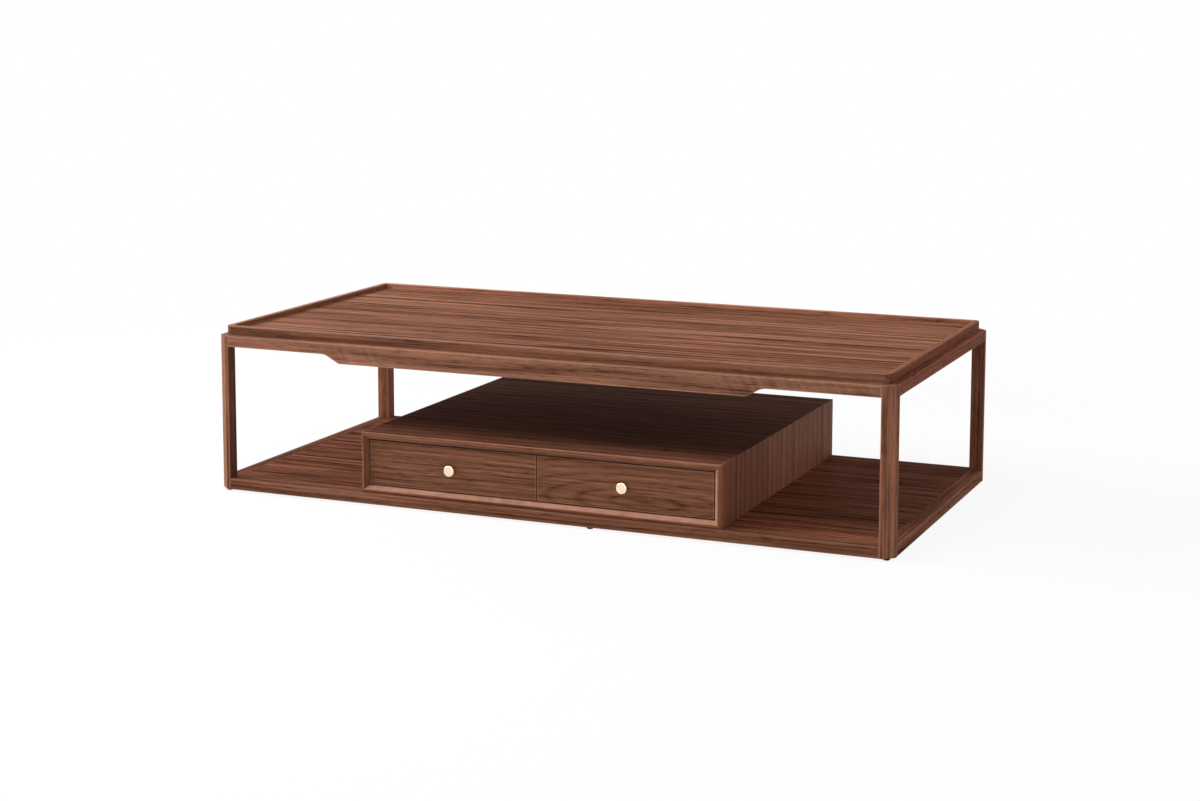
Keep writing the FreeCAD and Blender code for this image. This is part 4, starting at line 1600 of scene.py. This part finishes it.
@dataclass
class Drawer:
    """One drawer: a figured front with a turned knob, and a pale wooden box behind it.

    Attributes:
        body: Body that the drawer is.
        arris: Radius of the front's face arrises.
        small_arris: Radius of its other arrises.
        foot_radius: Radius of the knob's foot.
        foot_height: Height of the foot.
        foot_back: Radius of the foot's back edge.
        foot_front: Radius of the foot's front edge.
        neck_radius: Radius of the neck.
        neck_end: Height where the neck meets the head.
        neck_hollow: Radius of the hollow where the neck leaves the foot.
        head_hollow: Radius of the hollow where the neck meets the head.
        head_back: Radius of the head's back edge.
        head_front: Radius of the head's front edge.
        dish_share: Share of the head's radius that is dished.
        dish_depth: Depth of the dish.
        dish_edge: Radius of the dish's edge.
    """

    body: Body
    arris: float = 0.0004
    small_arris: float = 0.0003
    foot_radius: float = 0.007
    foot_height: float = 0.002
    foot_back: float = 0.0003
    foot_front: float = 0.0006
    neck_radius: float = 0.005
    neck_end: float = 0.007
    neck_hollow: float = 0.0008
    head_hollow: float = 0.0012
    head_back: float = 0.0024
    head_front: float = 0.0026
    dish_share: float = 0.68
    dish_depth: float = 0.0007
    dish_edge: float = 0.0012

    @property
    def side(self) -> str:
        """The side that the drawer is on."""
        return "left" if self.body is Body.LEFT_DRAWER else "right"

    def front(self) -> Surface:
        """The front board: its outline carried from its face backwards, with the face's arrises eased.

        Returns:
            The board's surface.
        """
        low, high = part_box(f"{self.body.value}_front")
        outline = Profile.rounded(tuple(Corner(x, z, self.small_arris) for x, z in (
            (low.x, low.z), (high.x, low.z), (high.x, high.z), (low.x, high.z))))
        path = Path.straight((0.0, low.y, 0.0), (0.0, high.y, 0.0), RIGHTWARD, UPWARD,
                             ease=(self.arris, self.small_arris))
        return Surface.carried(outline, path)

    def knob(self) -> Surface:
        """The knob: foot, hollow neck and head with a shallow dished face, turned about an axis to the front.

        Returns:
            The knob's surface.
        """
        low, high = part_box(f"knob_{self.side}")
        radius, height = (high.x - low.x) / 2.0, high.y - low.y
        turned = Profile.rounded((
            Corner(PINHOLE, 0.0, 0.0),
            Corner(self.foot_radius, 0.0, self.foot_back),
            Corner(self.foot_radius, self.foot_height, self.foot_front),
            Corner(self.neck_radius, self.foot_height, self.neck_hollow),
            Corner(self.neck_radius, self.neck_end, self.head_hollow),
            Corner(radius, self.neck_end, self.head_back),
            Corner(radius, height, self.head_front),
            Corner(self.dish_share * radius, height, self.dish_edge),
            Corner(PINHOLE, height - self.dish_depth, 0.0),
        ), closed=False)
        foot = ((low.x + high.x) / 2.0, high.y, (low.z + high.z) / 2.0)
        return Surface.carried(turned, Path.turned(foot, -BACKWARD))

    def build(self) -> None:
        """Builds the front and the knob, and dresses the box."""
        name = self.body.value
        heart, lean = DRAWER_HEARTS[self.body]
        figured = replace(WALNUT, dark=linear(64, 38, 25), seed=40.0, heart=heart, lean=lean, rings=90.0,
                          ring_depth=0.26, figure=6.0, streak=0.7, lines=0.2, fleck=0.05, wear_and_highlight=0.3, tone=0.92)
        add_piece(f"eased_{name}_front", self.front(), figured, self.body, f"{name}_front")
        add_piece(f"turned_knob_{self.side}", self.knob(), BRASS, self.body, f"knob_{self.side}")
        dress_node(f"knob_screw_{self.side}", SCREW_STEEL)
        box = {"side_inner": Grain.DEPTH, "side_outer": Grain.DEPTH, "back": Grain.LENGTH, "bottom": Grain.LENGTH}
        for number, (part, grain) in enumerate(box.items()):
            dress_node(f"{name}_{part}", replace(BOX_WOOD, grain=grain, seed=BOX_SEEDS[self.body] + number))


@dataclass(frozen=True)
class Lamp:
    """A soft rectangular light.

    Attributes:
        name: Name of the light.
        place: Where it hangs.
        size: Width and height.
        power: Power in watts.
    """

    name: str
    place: Triple
    size: tuple[float, float]
    power: float

    def hang(self, target: Triple) -> None:
        """Hangs the light.

        Args:
            target: Point that it faces.
        """
        light = bpy.data.lights.new(self.name, "AREA")
        light.shape, light.energy = "RECTANGLE", self.power
        light.size, light.size_y = self.size
        lamp = bpy.data.objects.new(self.name, light)
        lamp.location = self.place
        lamp.rotation_euler = (Vector(target) - Vector(self.place)).to_track_quat("-Z", "Y").to_euler()
        bpy.context.scene.collection.objects.link(lamp)
        LOG.info("%s: %.0f W", self.name, self.power)


LAMPS = (
    Lamp("key", place=(-5.4, -2.4, 3.3), size=(2.2, 2.2), power=320.0),
    Lamp("left_key", place=(-4.2, 0.0, 2.2), size=(1.0, 1.0), power=95.0),
    Lamp("overhead", place=(0.0, -1.3, 3.1), size=(2.6, 1.6), power=52.0),
    Lamp("front_fill", place=(0.7, -4.5, 1.2), size=(2.0, 1.4), power=52.0),
    Lamp("right_fill", place=(2.4, 0.5, 0.9), size=(1.0, 1.0), power=9.5),
    Lamp("back_right_fill", place=(2.4, 3.4, 1.8), size=(2.0, 1.6), power=38.0),
    Lamp("back_left_fill", place=(-3.0, 3.0, 1.8), size=(2.0, 1.6), power=24.0),
)


@dataclass
class Studio:
    """A white floor, soft lights and the camera.

    Attributes:
        camera_place: Place of the camera.
        heading: Turn of the camera about the upright, in degrees.
        pitch: How far the camera looks down, in degrees.
        lens: Focal length in millimetres.
        sensor: Width of the sensor in millimetres.
        shift: Shift of the lens, in sensor widths.
        sight: How far the camera sees.
        aim: Point that the lamps face.
        floor_colour: Colour of the floor.
        floor_radius: Radius of the floor.
        floor_start: Root of the share of that radius at the innermost ring.
        floor_fade: Distances from the middle over which the floor goes to plain white.
        floor_white: Share of plain white in the floor near the table.
        ambient: Strength of the light from all round.
    """

    camera_place: Triple = (1.7264, -4.1220, 1.0460)
    heading: float = 23.5813
    pitch: float = 7.3252
    lens: float = 67.1305
    sensor: float = 36.0
    shift: tuple[float, float] = (0.0228, -0.12)
    sight: float = 100.0
    aim: Triple = (0.0, 0.0, 0.2)
    floor_colour: Colour = linear(240, 240, 240)
    floor_radius: float = 16.0
    floor_start: float = 0.02
    floor_fade: tuple[float, float] = (1.1, 2.6)
    floor_white: float = 0.9
    ambient: float = 0.05

    def seen(self, wiring: Wiring) -> Socket:
        """Tells the rays that see the white from those that light the table.

        Args:
            wiring: Wiring of the floor or the world.

        Returns:
            1 for rays from the camera and for reflected or refracted ones, 0 for the rest.
        """
        rays = wiring.node("ShaderNodeLightPath").outputs
        mirror = wiring.math("MAXIMUM", rays["Is Glossy Ray"], rays["Is Transmission Ray"])
        return wiring.math("MAXIMUM", rays["Is Camera Ray"], mirror)

    def floor(self) -> None:
        """Lays the floor: a disc whose radius is r and angle t on a grid, white further out and shadowed near in."""
        radius, angle = np.meshgrid(np.linspace(self.floor_start, 1.0, FLOOR_RINGS) ** 2 * self.floor_radius,
                                    np.linspace(0.0, 2.0 * math.pi, TURN_STEPS, endpoint=False), indexing="ij")
        points = np.stack((radius * np.cos(angle), radius * np.sin(angle), np.zeros_like(radius)), axis=-1)
        row, column = np.meshgrid(np.arange(FLOOR_RINGS - 1), np.arange(TURN_STEPS), indexing="ij")
        after = (column + 1) % TURN_STEPS
        quads = np.stack((row * TURN_STEPS + column, (row + 1) * TURN_STEPS + column,
                          (row + 1) * TURN_STEPS + after, row * TURN_STEPS + after), axis=-1).reshape(-1, 4)
        mesh = bpy.data.meshes.new("floor")
        mesh.from_pydata(points.reshape(-1, 3).tolist(), [], quads.tolist() + [list(range(TURN_STEPS))])
        disc = bpy.data.objects.new("floor", mesh)
        bpy.context.scene.collection.objects.link(disc)
        material = bpy.data.materials.new("white_floor")
        material.use_nodes = True
        material.node_tree.nodes.clear()
        wiring = Wiring(material.node_tree)
        matt = wiring.node("ShaderNodeBsdfDiffuse")
        matt.inputs["Color"].default_value = self.floor_colour
        white = wiring.node("ShaderNodeEmission")
        right, back, _ = wiring.parts(wiring.node("ShaderNodeTexCoord").outputs["Object"])
        far = wiring.ramp(wiring.reach(right, back), *self.floor_fade)
        plain = wiring.math("MULTIPLY_ADD", far, 1.0 - self.floor_white, self.floor_white)
        wiring.finish(wiring.math("MULTIPLY", plain, self.seen(wiring)), matt, white, "ShaderNodeOutputMaterial")
        mesh.materials.append(material)
        LOG.info("floor: %.1f m across", 2.0 * self.floor_radius)

    def sky(self) -> None:
        """Gives the world a soft light, and white where the camera or a reflection sees it."""
        world = bpy.data.worlds.new("studio")
        bpy.context.scene.world = world
        world.use_nodes = True
        world.node_tree.nodes.clear()
        wiring = Wiring(world.node_tree)
        soft, white = (wiring.node("ShaderNodeBackground") for _ in range(2))
        soft.inputs["Strength"].default_value = self.ambient
        for background in (soft, white):
            background.inputs["Color"].default_value = (1.0, 1.0, 1.0, 1.0)
        wiring.finish(self.seen(wiring), soft, white, "ShaderNodeOutputWorld")

    def camera(self) -> None:
        """Sets up the camera."""
        data = bpy.data.cameras.new("view")
        data.sensor_fit, data.sensor_width, data.lens = "HORIZONTAL", self.sensor, self.lens
        data.shift_x, data.shift_y = self.shift
        data.clip_end = self.sight
        camera = bpy.data.objects.new("view", data)
        camera.location = self.camera_place
        camera.rotation_euler = (math.radians(90.0 - self.pitch), 0.0, math.radians(self.heading))
        bpy.context.scene.collection.objects.link(camera)
        bpy.context.scene.camera = camera

    def build(self) -> None:
        """Lays the floor, hangs the lights and sets up the camera."""
        self.floor()
        self.sky()
        for lamp in LAMPS:
            lamp.hang(self.aim)
        self.camera()
        bpy.context.scene.view_settings.view_transform = "Standard"


def main() -> None:
    """Builds each sub-assembly in order, then the studio."""
    logging.basicConfig(level=logging.INFO, format="%(name)s: %(message)s")
    for assembly in (Tray(), LegFrame(), BaseShelf(), Cabinet(), Drawer(Body.LEFT_DRAWER), Drawer(Body.RIGHT_DRAWER)):
        LOG.info("building the %s", type(assembly).__name__)
        assembly.build()
    Studio().build()


if __name__ == "__main__":
    main()
